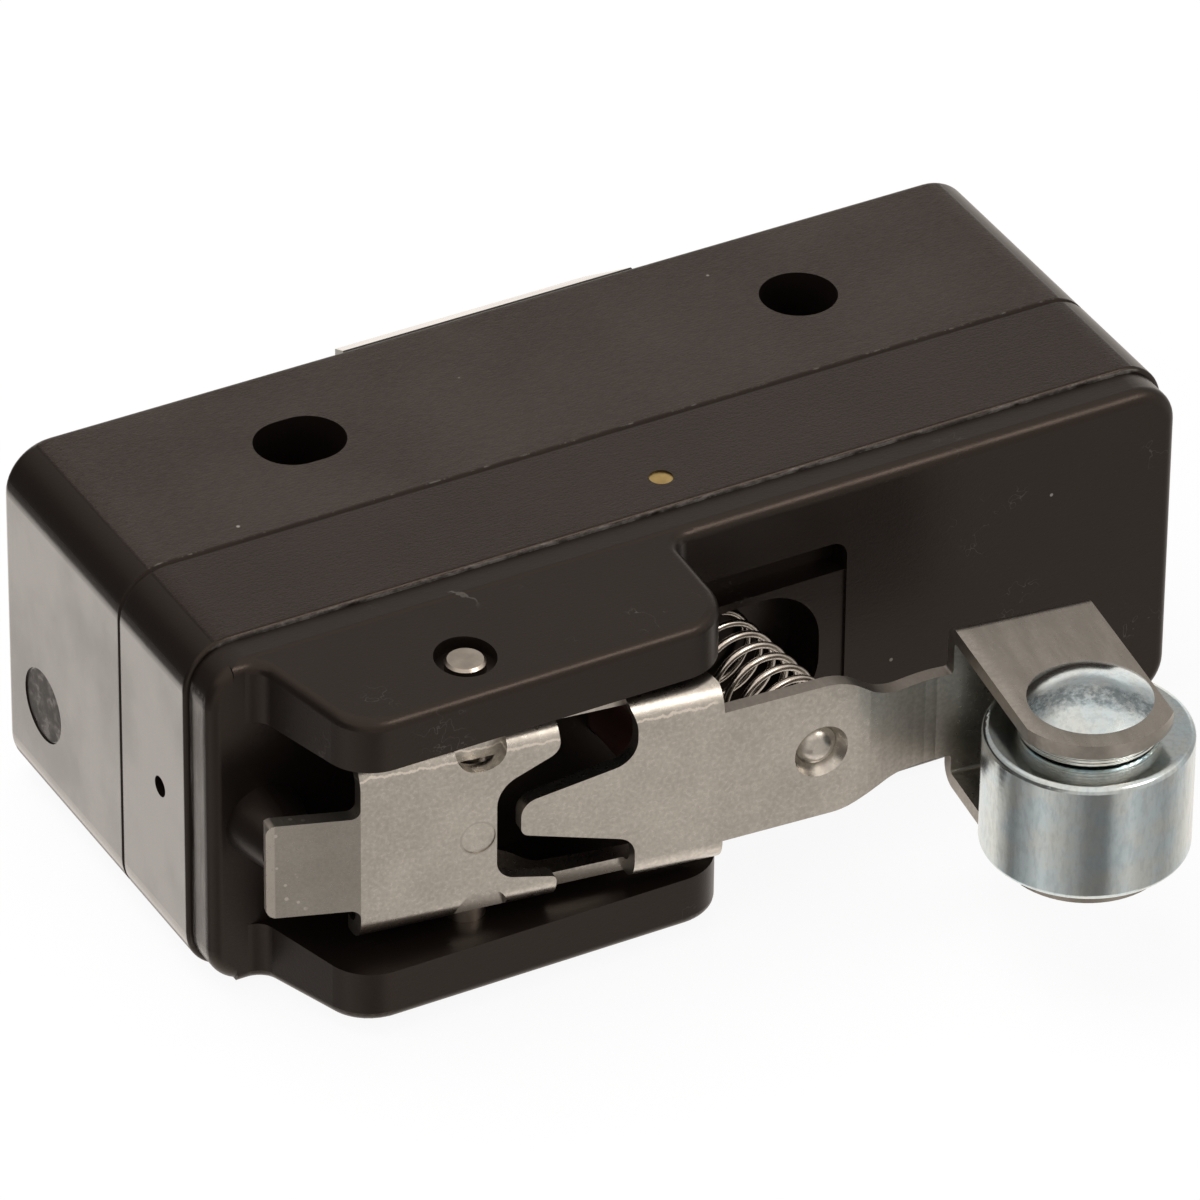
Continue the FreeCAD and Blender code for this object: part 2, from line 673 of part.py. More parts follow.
def offset_band(points, thickness):
    """Plan strip behind a run of points, mitred at each bend, at full case thickness."""
    back = []
    for index in range(len(points)):
        here = FreeCAD.Vector(points[index][0], points[index][1], 0)
        normals = []
        for other in (index - 1, index + 1):
            if 0 <= other < len(points):
                there = FreeCAD.Vector(points[other][0], points[other][1], 0)
                along = (there - here).normalize() * (other - index)
                normals.append(FreeCAD.Vector(-along.y, along.x, 0))
        normal = normals[0] if len(normals) == 1 else (normals[0] + normals[1]).normalize()
        stretch = thickness / normal.dot(normals[0])
        back.append(here + normal * stretch)
    outline = [(x, y, 0) for x, y in points]
    outline += [(point.x, point.y, 0) for point in reversed(back)]
    return plate_xy(outline, 0, CASE_THICKNESS)


def band_in_z(width, shift):
    """Lower and upper z of a band of some width, shifted from the middle plane."""
    return MID_Z + shift - width / 2.0, MID_Z + shift + width / 2.0


def web_elevation():
    """Outline of the web seen square on: tab, channel, blade, neck and the fork's back."""
    low = MID_Z - CHANNEL_HALF_WIDTH + BEND_R
    high = MID_Z + CHANNEL_HALF_WIDTH - BEND_R
    tab_end = web_points()[0][0]
    tab_low, tab_high = band_in_z(TAB_WIDTH, TAB_SHIFT)
    blade_low, blade_high = band_in_z(BLADE_WIDTH, BLADE_SHIFT)
    neck_low, neck_high = band_in_z(NECK_WIDTH, NECK_SHIFT)
    fork_low = FORK_LOW_Z + FORK_BEND_R
    fork_high = FORK_HIGH_Z - FORK_BEND_R
    fork_right = FORK_LEFT_X + FORK_WIDTH
    corners = [
        (tab_end, tab_low, TAB_CORNER_R),
        (CHANNEL_LEFT_X, tab_low, TAB_CORNER_R),
        (CHANNEL_LEFT_X, low, 0),
        (CHANNEL_RIGHT_X, low, 0),
        (CHANNEL_RIGHT_X, blade_low, 0),
        (SHOULDER_X, blade_low, SHOULDER_R),
        (SHOULDER_X + SHOULDER_LOW_RUN, neck_low, SHOULDER_R),
        (FORK_LEFT_X, neck_low, NECK_CORNER_R),
        (FORK_LEFT_X, fork_low, 0),
        (fork_right, fork_low, 0),
        (fork_right, fork_high, 0),
        (FORK_LEFT_X, fork_high, 0),
        (FORK_LEFT_X, neck_high, NECK_CORNER_R),
        (SHOULDER_X + SHOULDER_HIGH_RUN, neck_high, SHOULDER_R),
        (SHOULDER_X, blade_high, SHOULDER_R),
        (CHANNEL_RIGHT_X, blade_high, 0),
        (CHANNEL_RIGHT_X, high, 0),
        (CHANNEL_LEFT_X, high, 0),
        (CHANNEL_LEFT_X, tab_high, TAB_CORNER_R),
        (tab_end, tab_high, TAB_CORNER_R),
    ]
    return plate_xz(corners, WEB_Y - OVERRUN, WEB_Y + TAB_LENGTH + SHEET)


def c_section(front_y, depth, bend_r, low_z, high_z, x0, x1):
    """Channel of sheet with two bent flanges; depth is positive towards the case."""
    sign = 1.0 if depth > 0 else -1.0
    inner_r = bend_r - SHEET
    face = front_y
    end = front_y + depth
    inside = front_y + sign * SHEET
    corners = [
        (face, low_z, bend_r),
        (end, low_z, 0),
        (end, low_z + SHEET, 0),
        (inside, low_z + SHEET, inner_r),
        (inside, high_z - SHEET, inner_r),
        (end, high_z - SHEET, 0),
        (end, high_z, 0),
        (face, high_z, bend_r),
    ]
    return plate_yz(corners, x0, x1)


def channel():
    """The lever's channel: web, bends and the two flanges with their ears round the pin."""
    low = MID_Z - CHANNEL_HALF_WIDTH
    high = MID_Z + CHANNEL_HALF_WIDTH
    depth = EAR_R - WEB_Y + OVERRUN
    section = c_section(WEB_Y, depth, BEND_R, low, high, CHANNEL_LEFT_X, CHANNEL_RIGHT_X)
    plan = [
        (CHANNEL_LEFT_X, WEB_Y - OVERRUN, 0),
        (CHANNEL_RIGHT_X, WEB_Y - OVERRUN, 0),
        (CHANNEL_RIGHT_X, WEB_Y + SHEET, 0),
        (CHANNEL_RIGHT_X - FLANGE_CORNER_R, FLANGE_END_Y, FLANGE_CORNER_R),
        (EAR_ROOT_X, FLANGE_END_Y + EAR_RISE, EAR_ROOT_R),
        (EAR_R, EAR_R, EAR_CORNER_R),
        (-EAR_R, EAR_R, EAR_CORNER_R),
        (-EAR_ROOT_X, FLANGE_END_Y, EAR_ROOT_R),
        (CHANNEL_LEFT_X, FLANGE_END_Y, FLANGE_CORNER_R),
    ]
    return section.common(plate_xy(plan, 0, CASE_THICKNESS))


def tongue_opening():
    """S-shaped opening in the web that leaves a pointed tongue and cuts both flanges' bends."""
    corners = [(x, MID_Z + height, radius) for x, height, radius in TONGUE_OPENING]
    return plate_xz(corners, WEB_Y - OVERRUN, WEB_Y + BEND_R)


def bend_notch():
    """Round-bottomed notch across the upper bend, in line with the pivot pin."""
    bottom = MID_Z + CHANNEL_HALF_WIDTH - BEND_R - NOTCH_DEPTH_INTO_WEB
    corners = [
        (NOTCH_X - NOTCH_R, bottom, NOTCH_CORNER_R),
        (NOTCH_X + NOTCH_R, bottom, NOTCH_CORNER_R),
        (NOTCH_X + NOTCH_R + NOTCH_FLARE, CASE_THICKNESS, 0),
        (NOTCH_X - NOTCH_R - NOTCH_FLARE, CASE_THICKNESS, 0),
    ]
    return plate_xz(corners, WEB_Y - OVERRUN, WEB_Y + SHEET)


def fork():
    """Clevis for the roller: a back plate with two arms bent away from the case."""
    back_y = FORK_WEB_Y + SHEET
    right = FORK_LEFT_X + FORK_WIDTH
    depth = ROLLER_Y - FORK_TIP_R - OVERRUN - back_y
    section = c_section(back_y, depth, FORK_BEND_R, FORK_LOW_Z, FORK_HIGH_Z, FORK_LEFT_X, right)
    tip = rod_z(ROLLER_X, ROLLER_Y, FORK_TIP_R, 0, CASE_THICKNESS)
    shank = box(FORK_LEFT_X, right, ROLLER_Y, back_y + OVERRUN, 0, CASE_THICKNESS)
    return section.common(tip.fuse(shank))


def blade_face(x):
    """Height of the blade's outer face in plan at x, and its normal towards the case."""
    points = web_points()
    left, right = points[2], points[3]
    slope = (right[1] - left[1]) / (right[0] - left[0])
    y = left[1] + slope * (x - left[0])
    normal = FreeCAD.Vector(-slope, 1, 0).normalize()
    return y, normal


def spring_boss():
    """Dimple pressed into the blade: boss on the case side and recess on the outer face."""
    face_y, normal = blade_face(BOSS_X)
    start = FreeCAD.Vector(BOSS_X, face_y, MID_Z + BLADE_SHIFT)
    boss = Part.makeCone(BOSS_R, BOSS_TIP_R, BOSS_HEIGHT, start + normal * SHEET, normal)
    root = Part.makeCylinder(BOSS_R, SHEET / 2.0, start + normal * (SHEET / 2.0), normal)
    recess = Part.makeCone(BOSS_R, BOSS_TIP_R, BOSS_HEIGHT, start, normal)
    lead = Part.makeCylinder(BOSS_R, OVERRUN, start - normal * OVERRUN, normal)
    return boss.fuse(root), recess.fuse(lead)


def make_lever():
    """Roller lever: one stamping with tab, channel, tongue, blade, neck and fork."""
    body = offset_band(web_points(), SHEET).common(web_elevation())
    body = body.fuse(channel())
    body = body.fuse(fork())
    boss, recess = spring_boss()
    body = body.fuse(boss).cut(recess)
    body = body.cut(tongue_opening())
    notch = bend_notch()
    body = body.cut(notch)
    body = body.cut(mirrored_in_thickness(notch))
    body = body.cut(rod_y(COIN_X, MID_Z + COIN_SHIFT, COIN_R, WEB_Y - OVERRUN, WEB_Y + COIN_DEPTH))
    body = body.cut(rod_z(0, 0, PIN_R + PIN_RUNNING_CLEARANCE, 0, CASE_THICKNESS))
    body = body.cut(rod_z(ROLLER_X, ROLLER_Y, AXLE_R, 0, CASE_THICKNESS))
    return into_free_position(body.removeSplitter())


def make_pivot_pin():
    """Plain pin through both cheeks, its ends just below their outer faces."""
    low = STEP_INSET + PIN_RECESS
    pin = rod_z(PIVOT_X, PIVOT_Y, PIN_R, low, CASE_THICKNESS - low)
    return pin.makeChamfer(PIN_CHAMFER, edges_on_z(pin, low) + edges_on_z(pin, CASE_THICKNESS - low))


def roller_bounds():
    """Lower and upper z of the roller between the fork's arms."""
    low = FORK_LOW_Z + SHEET + ROLLER_SIDE_GAP
    return low, low + ROLLER_WIDTH


def make_roller():
    """Solid roller with a plain bore and rounded rims."""
    low, high = roller_bounds()
    centre = lever_point(ROLLER_X, ROLLER_Y, low)
    body = rod_z(centre.x, centre.y, ROLLER_R, low, high)
    body = body.makeFillet(ROLLER_EDGE_R, edges_on_z(body, low) + edges_on_z(body, high))
    bore = rod_z(centre.x, centre.y, AXLE_R + ROLLER_BORE_CLEARANCE, low - OVERRUN, high + OVERRUN)
    return body.cut(bore)


def make_washer():
    """Spacing washer between the roller and the fork's upper arm."""
    low = roller_bounds()[1] + ROLLER_SIDE_GAP
    high = low + WASHER_THICKNESS
    centre = lever_point(ROLLER_X, ROLLER_Y, low)
    body = rod_z(centre.x, centre.y, WASHER_R, low, high)
    body = body.makeFillet(WASHER_EDGE_R, edges_on_z(body, low) + edges_on_z(body, high))
    bore = rod_z(centre.x, centre.y, AXLE_R + PRESS_GAP, low - OVERRUN, high + OVERRUN)
    return body.cut(bore)


def make_axle():
    """Rivet through fork, washer and roller, with a domed head and an upset end."""
    centre = lever_point(ROLLER_X, ROLLER_Y, 0)
    body = rod_z(centre.x, centre.y, AXLE_R, FORK_LOW_Z, FORK_HIGH_Z)
    dome_r = (AXLE_HEAD_R ** 2 + AXLE_HEAD_HEIGHT ** 2) / (2.0 * AXLE_HEAD_HEIGHT)
    dome_centre = FreeCAD.Vector(centre.x, centre.y, FORK_HIGH_Z + AXLE_HEAD_HEIGHT - dome_r)
    dome = Part.makeSphere(dome_r, dome_centre)
    head = rod_z(centre.x, centre.y, AXLE_HEAD_R, FORK_HIGH_Z, FORK_HIGH_Z + AXLE_HEAD_HEIGHT)
    body = body.fuse(head.common(dome))
    upset_low = FORK_LOW_Z - AXLE_UPSET_HEIGHT
    upset = rod_z(centre.x, centre.y, AXLE_UPSET_R, upset_low, FORK_LOW_Z)
    upset = upset.makeFillet(AXLE_UPSET_EDGE_R, edges_on_z(upset, upset_low))
    return body.fuse(upset).removeSplitter()


def tilted_end_inset(direction, seat_normal):
    """Distance from a seat to the middle of the coil's end, so that the leaning coil clears it."""
    lean = direction.cross(seat_normal).Length
    return SPRING_WIRE_R + SPRING_END_GAP + SPRING_R * lean


def wire_section(coil_r, pitch):
    """Flat-sided section with the area of the round wire, square to the start of the coil."""
    along = FreeCAD.Vector(0, 2.0 * math.pi * coil_r, pitch).normalize()
    across = along.cross(X_AXIS)
    step = 2.0 * math.pi / SPRING_WIRE_SIDES
    corner_r = SPRING_WIRE_R * math.sqrt(step / math.sin(step))
    centre = X_AXIS * coil_r
    corners = []
    for index in range(SPRING_WIRE_SIDES + 1):
        angle = (index % SPRING_WIRE_SIDES + 0.5) * step
        offset = X_AXIS * math.cos(angle) + across * math.sin(angle)
        corners.append(centre + offset * corner_r)
    return Part.makePolygon(corners)


def make_return_spring():
    """Compression coil from the pocket's floor to the lever's boss."""
    face_y, normal = blade_face(BOSS_X)
    face_seat = lever_point(BOSS_X, face_y, MID_Z)
    normal_tip = lever_point(BOSS_X + normal.x, face_y + normal.y, MID_Z)
    web_normal = normal_tip - face_seat
    boss_seat = face_seat + web_normal * SHEET
    floor_seat = FreeCAD.Vector(SPRING_SEAT_X, SPRING_SEAT_Y, MID_Z)
    axis = boss_seat - floor_seat
    span = axis.Length
    direction = axis.normalize()
    floor_inset = tilted_end_inset(direction, Y_AXIS)
    web_inset = tilted_end_inset(direction, web_normal)
    length = span - floor_inset - web_inset
    pitch = length / SPRING_COILS
    coil_r = SPRING_R - SPRING_WIRE_R
    helix = Part.makeHelix(pitch, length, coil_r)
    coil = Part.Wire(helix).makePipeShell([wire_section(coil_r, pitch)], True, True)
    turn = FreeCAD.Rotation(Z_AXIS, direction)
    coil.Placement = FreeCAD.Placement(floor_seat + direction * floor_inset, turn)
    return coil


def plunger_tip_y():
    """Y of the plunger's tip, a small gap behind the lever's sloping inner face."""
    angle = math.radians(LEVER_TILT)
    reach = PLUNGER_X - PIVOT_X
    inner = WEB_Y + SHEET
    face_y = PIVOT_Y - reach * math.tan(angle) + inner / math.cos(angle)
    flat_r = PLUNGER_R - PLUNGER_TIP_R
    tip_reach = flat_r * math.sin(angle) + PLUNGER_TIP_R * (1.0 - math.cos(angle))
    return face_y + tip_reach / math.cos(angle) + PLUNGER_LEVER_GAP


def make_plunger():
    """Pin the lever presses on, with a collar that keeps it inside the case."""
    tip = plunger_tip_y()
    end = SNAP_BLADE_Y - PRESS_GAP
    body = rod_y(PLUNGER_X, MID_Z, PLUNGER_R, tip, end)
    body = body.makeFillet(PLUNGER_TIP_R, edges_on_y(body, tip))
    collar_y = CAVITY_FRONT_Y + PRESS_GAP
    collar = rod_y(PLUNGER_X, MID_Z, PLUNGER_COLLAR_R, collar_y, collar_y + PLUNGER_COLLAR)
    return body.fuse(collar).removeSplitter()


def make_locating_pin(upper):
    """Short pin set in a side wall of the cover."""
    low = LOCATING_PIN_RECESS
    pin = rod_z(LOCATING_PIN_X, LOCATING_PIN_Y, LOCATING_PIN_R, low, low + LOCATING_PIN_LENGTH)
    return mirrored_in_thickness(pin) if upper else pin


def contact_planes():
    """Y of the moving contact's two faces in the free position."""
    front = SNAP_BLADE_Y - CONTACT_FACE
    back = SNAP_BLADE_Y + BLADE_THICKNESS + CONTACT_FACE
    return front, back


def make_snap_blade():
    """Flat spring blade with a centre tongue and two side strips, anchored at the common post."""
    left = RIVET_X - SNAP_BLADE_HEEL
    right = CONTACT_X + CONTACT_R + SNAP_BLADE_TOE
    half = SNAP_BLADE_HALF_WIDTH
    y0 = SNAP_BLADE_Y
    y1 = SNAP_BLADE_Y + BLADE_THICKNESS
    outline = [
        (left, MID_Z - half, SNAP_BLADE_HEEL_R),
        (right, MID_Z - half, SNAP_BLADE_TOE_R),
        (right, MID_Z + half, SNAP_BLADE_TOE_R),
        (left, MID_Z + half, SNAP_BLADE_HEEL_R),
    ]
    body = plate_xz(outline, y0, y1)
    slot_left = RIVET_X + SNAP_SLOT_HEEL
    slot_right = CONTACT_X - SNAP_SLOT_TOE
    for side in (-1, 1):
        slot_z = MID_Z + side * SNAP_SLOT_OFFSET
        low = slot_z - SNAP_SLOT_WIDTH / 2.0
        high = slot_z + SNAP_SLOT_WIDTH / 2.0
        slot = [
            (slot_left, low, SNAP_SLOT_END_R),
            (slot_right, low, SNAP_SLOT_END_R),
            (slot_right, high, SNAP_SLOT_END_R),
            (slot_left, high, SNAP_SLOT_END_R),
        ]
        body = body.cut(plate_xz(slot, y0 - OVERRUN, y1 + OVERRUN))
    body = body.cut(rod_y(CONTACT_X, MID_Z, CONTACT_NECK_R + PRESS_GAP, y0 - OVERRUN, y1 + OVERRUN))
    return body.cut(rod_y(RIVET_X, MID_Z, RIVET_R + PRESS_GAP, y0 - OVERRUN, y1 + OVERRUN))


def make_moving_contact():
    """Double-faced contact button riveted through the end of the blade."""
    front, back = contact_planes()
    front_button = rod_y(CONTACT_X, MID_Z, CONTACT_R, front, SNAP_BLADE_Y - PRESS_GAP)
    back_start = SNAP_BLADE_Y + BLADE_THICKNESS + PRESS_GAP
    back_button = rod_y(CONTACT_X, MID_Z, CONTACT_R, back_start, back)
    neck = rod_y(CONTACT_X, MID_Z, CONTACT_NECK_R, front, back)
    return front_button.fuse(back_button).fuse(neck).removeSplitter()


def make_nc_contact():
    """Fixed button the moving contact rests on in the free position."""
    front = contact_planes()[0] - CONTACT_GAP
    return rod_y(CONTACT_X, MID_Z, CONTACT_R, front - CONTACT_FACE, front)


def no_contact_y():
    """Y of the face that the moving contact lands on when the lever is pressed."""
    return contact_planes()[1] + CONTACT_TRAVEL + CONTACT_GAP


def make_no_contact():
    """Fixed button the moving contact lands on when the lever is pressed."""
    face_y = no_contact_y()
    return rod_y(CONTACT_X, MID_Z, CONTACT_R, face_y, face_y + CONTACT_NO_FACE)


def terminal_plate(centre_x, seat_y):
    """Flat of a terminal under its screw, with the screw's hole."""
    left = centre_x - TERMINAL_HALF_LENGTH
    right = centre_x + TERMINAL_HALF_LENGTH
    outline = [
        (left, MID_Z - TERMINAL_HALF_WIDTH, TERMINAL_CORNER_R),
        (right, MID_Z - TERMINAL_HALF_WIDTH, TERMINAL_CORNER_R),
        (right, MID_Z + TERMINAL_HALF_WIDTH, TERMINAL_CORNER_R),
        (left, MID_Z + TERMINAL_HALF_WIDTH, TERMINAL_CORNER_R),
    ]
    body = plate_xz(outline, seat_y, seat_y + TERMINAL_SHEET)
    hole_r = SCREW_R + SCREW_CLEARANCE
    return body.cut(rod_y(centre_x, MID_Z, hole_r, seat_y - OVERRUN, seat_y + TERMINAL_SHEET + OVERRUN))


def inner_strip(x0, x1, y0, high_z):
    """Flat strip of a terminal inside the case, from the post's lower edge to a given height."""
    return box(x0, x1, y0, y0 + TERMINAL_SHEET, MID_Z - POST_HALF_WIDTH, high_z)


def make_common_terminal():
    """Left terminal: plate, post and the foot that carries the snap blade."""
    name, centre_x, seat_y, post_x = terminal_places()[0]
    foot_y = SNAP_BLADE_Y + BLADE_THICKNESS
    foot = inner_strip(post_x, RIVET_X + SNAP_BLADE_HEEL, foot_y, MID_Z + POST_HALF_WIDTH)
    rivet_hole_r = RIVET_R + PRESS_GAP
    rivet_hole = rod_y(RIVET_X, MID_Z, rivet_hole_r, foot_y - OVERRUN, foot_y + TERMINAL_SHEET + OVERRUN)
    body = terminal_plate(centre_x, seat_y)
    body = body.fuse(post_slot(post_x, foot_y, seat_y + TERMINAL_SHEET, 0.0))
    return body.fuse(foot).cut(rivet_hole).removeSplitter()


def make_no_terminal():
    """Right terminal: plate, post and the arm behind the moving contact."""
    name, centre_x, seat_y, post_x = terminal_places()[2]
    arm_y = no_contact_y() + CONTACT_NO_FACE
    arm = inner_strip(CONTACT_X - CONTACT_ARM_REACH, post_x, arm_y, MID_Z + POST_HALF_WIDTH)
    body = terminal_plate(centre_x, seat_y)
    body = body.fuse(post_slot(post_x, arm_y, seat_y + TERMINAL_SHEET, 0.0))
    return body.fuse(arm).removeSplitter()


def make_nc_terminal():
    """Centre terminal: plate, post, a bridge beside the blade and the arm in front of the contact."""
    name, centre_x, seat_y, post_x = terminal_places()[1]
    arm_y = contact_planes()[0] - CONTACT_GAP - CONTACT_FACE - TERMINAL_SHEET
    back_y = cavity_back_y()
    bridge_y = back_y - TERMINAL_SHEET
    bridge_right = BRIDGE_LEFT_X + BRIDGE_WIDTH
    side_z = MID_Z + SNAP_BLADE_HALF_WIDTH + BRIDGE_BLADE_GAP
    top_z = side_z + BRIDGE_THICKNESS
    body = terminal_plate(centre_x, seat_y)
    body = body.fuse(post_slot(post_x, bridge_y, seat_y + TERMINAL_SHEET, 0.0))
    body = body.fuse(inner_strip(post_x - TERMINAL_SHEET / 2.0, bridge_right, bridge_y, top_z))
    body = body.fuse(box(BRIDGE_LEFT_X, bridge_right, arm_y, back_y, side_z, top_z))
    body = body.fuse(inner_strip(BRIDGE_LEFT_X, CONTACT_X + CONTACT_R, arm_y, top_z))
    return body.removeSplitter()


def make_blade_rivet():
    """Rivet that holds the blade on the common terminal's foot."""
    end = SNAP_BLADE_Y + BLADE_THICKNESS + TERMINAL_SHEET
    shank = rod_y(RIVET_X, MID_Z, RIVET_R, SNAP_BLADE_Y, end)
    head = rod_y(RIVET_X, MID_Z, RIVET_HEAD_R, SNAP_BLADE_Y - RIVET_HEAD_HEIGHT, SNAP_BLADE_Y)
    return shank.fuse(head)


def make_screw(centre_x, seat_y):
    """Slotted binding-head terminal screw."""
    head_y = seat_y + TERMINAL_SHEET + CUP_THICKNESS + SCREW_CLEARANCE
    top = head_y + SCREW_HEAD_HEIGHT
    head = rod_y(centre_x, MID_Z, SCREW_HEAD_R, head_y, top)
    head = head.makeFillet(SCREW_EDGE_R, edges_on_y(head, top))
    half_slot = SCREW_SLOT_WIDTH / 2.0
    reach = SCREW_HEAD_R + OVERRUN
    slot = box(centre_x - half_slot, centre_x + half_slot, top - SCREW_SLOT_DEPTH, top + OVERRUN,
               MID_Z - reach, MID_Z + reach)
    tip = seat_y - SCREW_LENGTH + SCREW_TIP_GAP
    shank = rod_y(centre_x, MID_Z, SCREW_R, tip, head_y)
    shank = shank.makeChamfer(SCREW_TIP_CHAMFER, edges_on_y(shank, tip))
    return head.cut(slot).fuse(shank).removeSplitter()


def make_cup_washer(centre_x, seat_y):
    """Square cup washer whose four corners turn up round the wire."""
    y0 = seat_y + TERMINAL_SHEET
    outline = [
        (centre_x - CUP_R, MID_Z - CUP_R, CUP_CORNER_R),
        (centre_x + CUP_R, MID_Z - CUP_R, CUP_CORNER_R),
        (centre_x + CUP_R, MID_Z + CUP_R, CUP_CORNER_R),
        (centre_x - CUP_R, MID_Z + CUP_R, CUP_CORNER_R),
    ]
    outer = plate_xz(outline, y0, y0 + CUP_HEIGHT)
    dish_r = CUP_R + CUP_DISH_MARGIN
    dish = rod_y(centre_x, MID_Z, dish_r, y0 + CUP_THICKNESS, y0 + CUP_HEIGHT + OVERRUN)
    hole_r = SCREW_R + CUP_HOLE_CLEARANCE
    hole = rod_y(centre_x, MID_Z, hole_r, y0 - OVERRUN, y0 + CUP_HEIGHT)
    return outer.cut(dish).cut(hole)


def export(name, shape):
    """Write one node's solid."""
    shape.exportStep(os.path.join("parts", name + ".step"))


def main():
    os.makedirs("parts", exist_ok=True)
    export("base", make_base())
    export("cover", make_cover())
    export("roller_lever", make_lever())
    export("pivot_pin", make_pivot_pin())
    export("roller", make_roller())
    export("roller_washer", make_washer())
    export("roller_axle", make_axle())
    export("return_spring", make_return_spring())
    export("plunger", make_plunger())
    export("locating_pin_upper", make_locating_pin(True))
    export("locating_pin_lower", make_locating_pin(False))
    export("snap_blade", make_snap_blade())
    export("blade_rivet", make_blade_rivet())
    export("moving_contact", make_moving_contact())
    export("contact_nc", make_nc_contact())
    export("contact_no", make_no_contact())
    export("terminal_common", make_common_terminal())
    export("terminal_nc", make_nc_terminal())
    export("terminal_no", make_no_terminal())
    for name, centre_x, seat_y, post_x in terminal_places():
        export("terminal_screw_" + name, make_screw(centre_x, seat_y))
        export("cup_washer_" + name, make_cup_washer(centre_x, seat_y))


main()
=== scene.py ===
"""Looks, light and camera for a roller-lever snap-action switch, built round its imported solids."""

import logging
import math
from dataclasses import dataclass
from enum import Enum

import bpy
import numpy as np
from mathutils import Matrix, Vector


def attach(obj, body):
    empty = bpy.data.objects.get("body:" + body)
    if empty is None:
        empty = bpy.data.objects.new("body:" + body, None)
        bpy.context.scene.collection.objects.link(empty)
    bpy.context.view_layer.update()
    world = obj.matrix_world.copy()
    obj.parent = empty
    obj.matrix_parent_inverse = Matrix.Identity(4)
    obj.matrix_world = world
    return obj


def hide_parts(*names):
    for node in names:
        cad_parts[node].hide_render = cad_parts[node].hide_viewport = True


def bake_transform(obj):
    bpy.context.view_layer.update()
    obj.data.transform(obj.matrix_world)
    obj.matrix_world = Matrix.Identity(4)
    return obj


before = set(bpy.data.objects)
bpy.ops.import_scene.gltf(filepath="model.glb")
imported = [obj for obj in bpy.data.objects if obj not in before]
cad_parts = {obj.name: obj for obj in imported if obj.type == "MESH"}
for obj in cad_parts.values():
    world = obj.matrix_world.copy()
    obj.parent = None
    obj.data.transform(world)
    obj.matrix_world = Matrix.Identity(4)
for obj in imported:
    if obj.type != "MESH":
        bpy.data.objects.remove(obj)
bpy.context.view_layer.update()

LOG = logging.getLogger("switch")
MM = 0.001
Colour = tuple[float, float, float]
Triple = tuple[float, float, float]
Point = tuple[float, float]
Socket = bpy.types.NodeSocket


class Body(Enum):
    """Bodies of the switch that new pieces ride on."""

    CASE = "case"
    LEVER = "lever"


class Slot(Enum):
    """Names of two material slots of the record; nothing in the script uses them."""

    LEVER_STEEL = "lever_steel"
    SPRING_STEEL = "spring_steel"


class Nodes:
    """A node tree, with short calls for the steps that the finishes and the tent share."""

    def __init__(self, tree: bpy.types.NodeTree) -> None:
        """Start from an empty tree.

        Args:
            tree: The tree that is filled.
        """
        self.tree = tree
        self.tree.nodes.clear()

    def new(self, kind: str) -> bpy.types.Node:
        """Add a node.

        Args:
            kind: Blender's name of its type.

        Returns:
            The node.
        """
        return self.tree.nodes.new(kind)

    def join(self, value: object, socket: Socket) -> None:
        """Link an output to a socket, or set the socket to a plain number or colour.

        Args:
            value: An output socket, number, or tuple.
            socket: The input it goes to.
        """
        if isinstance(value, Socket):
            self.tree.links.new(value, socket)
        elif isinstance(value, tuple) and len(value) == 3 and socket.type == "RGBA":
            socket.default_value = (*value, 1.0)
        else:
            socket.default_value = value

    def split(self, vector: Socket) -> tuple[Socket, ...]:
        """The x, y and z of a vector.

        Args:
            vector: The vector to take apart.

        Returns:
            Its three parts.
        """
        parts = self.new("ShaderNodeSeparateXYZ")
        self.join(vector, parts.inputs[0])
        return tuple(parts.outputs)

    def math(self, operation: str, first: object, second: object = 0.0) -> Socket:
        """One arithmetic step.

        Args:
            operation: Blender's name of the step.
            first: Left value.
            second: Right value.

        Returns:
            The result.
        """
        step = self.new("ShaderNodeMath")
        step.operation = operation
        self.join(first, step.inputs[0])
        self.join(second, step.inputs[1])
        return step.outputs[0]

    def rise(self, value: object, low: float, high: float, to_low: float = 0.0, to_high: float = 1.0) -> Socket:
        """Smooth step from one level to another as a value goes from low to high.

        Args:
            value: The value that drives the step.
            low: Where the step starts.
            high: Where the step ends.
            to_low: Result before the step.
            to_high: Result after the step.

        Returns:
            The level.
        """
        step = self.new("ShaderNodeMapRange")
        step.interpolation_type = "SMOOTHSTEP"
        self.join(value, step.inputs["Value"])
        step.inputs["From Min"].default_value = low
        step.inputs["From Max"].default_value = high
        step.inputs["To Min"].default_value = to_low
        step.inputs["To Max"].default_value = to_high
        return step.outputs[0]

    def mix(self, share: object, first: object, second: object) -> Socket:
        """Colour between two colours.

        Args:
            share: 0 gives the first and 1 the second.
            first: First colour.
            second: Second colour.

        Returns:
            The mixed colour.
        """
        blend = self.new("ShaderNodeMix")
        blend.data_type = "RGBA"
        self.join(share, blend.inputs["Factor"])
        self.join(first, blend.inputs[6])
        self.join(second, blend.inputs[7])
        return blend.outputs[2]

    def level(self, share: object, first: object, second: object) -> Socket:
        """Level between two levels.

        Args:
            share: 0 gives the first and 1 the second.
            first: First level.
            second: Second level.

        Returns:
            The level between them.
        """
        blend = self.new("ShaderNodeMix")
        self.join(share, blend.inputs["Factor"])
        self.join(first, blend.inputs[2])
        self.join(second, blend.inputs[3])
        return blend.outputs[0]


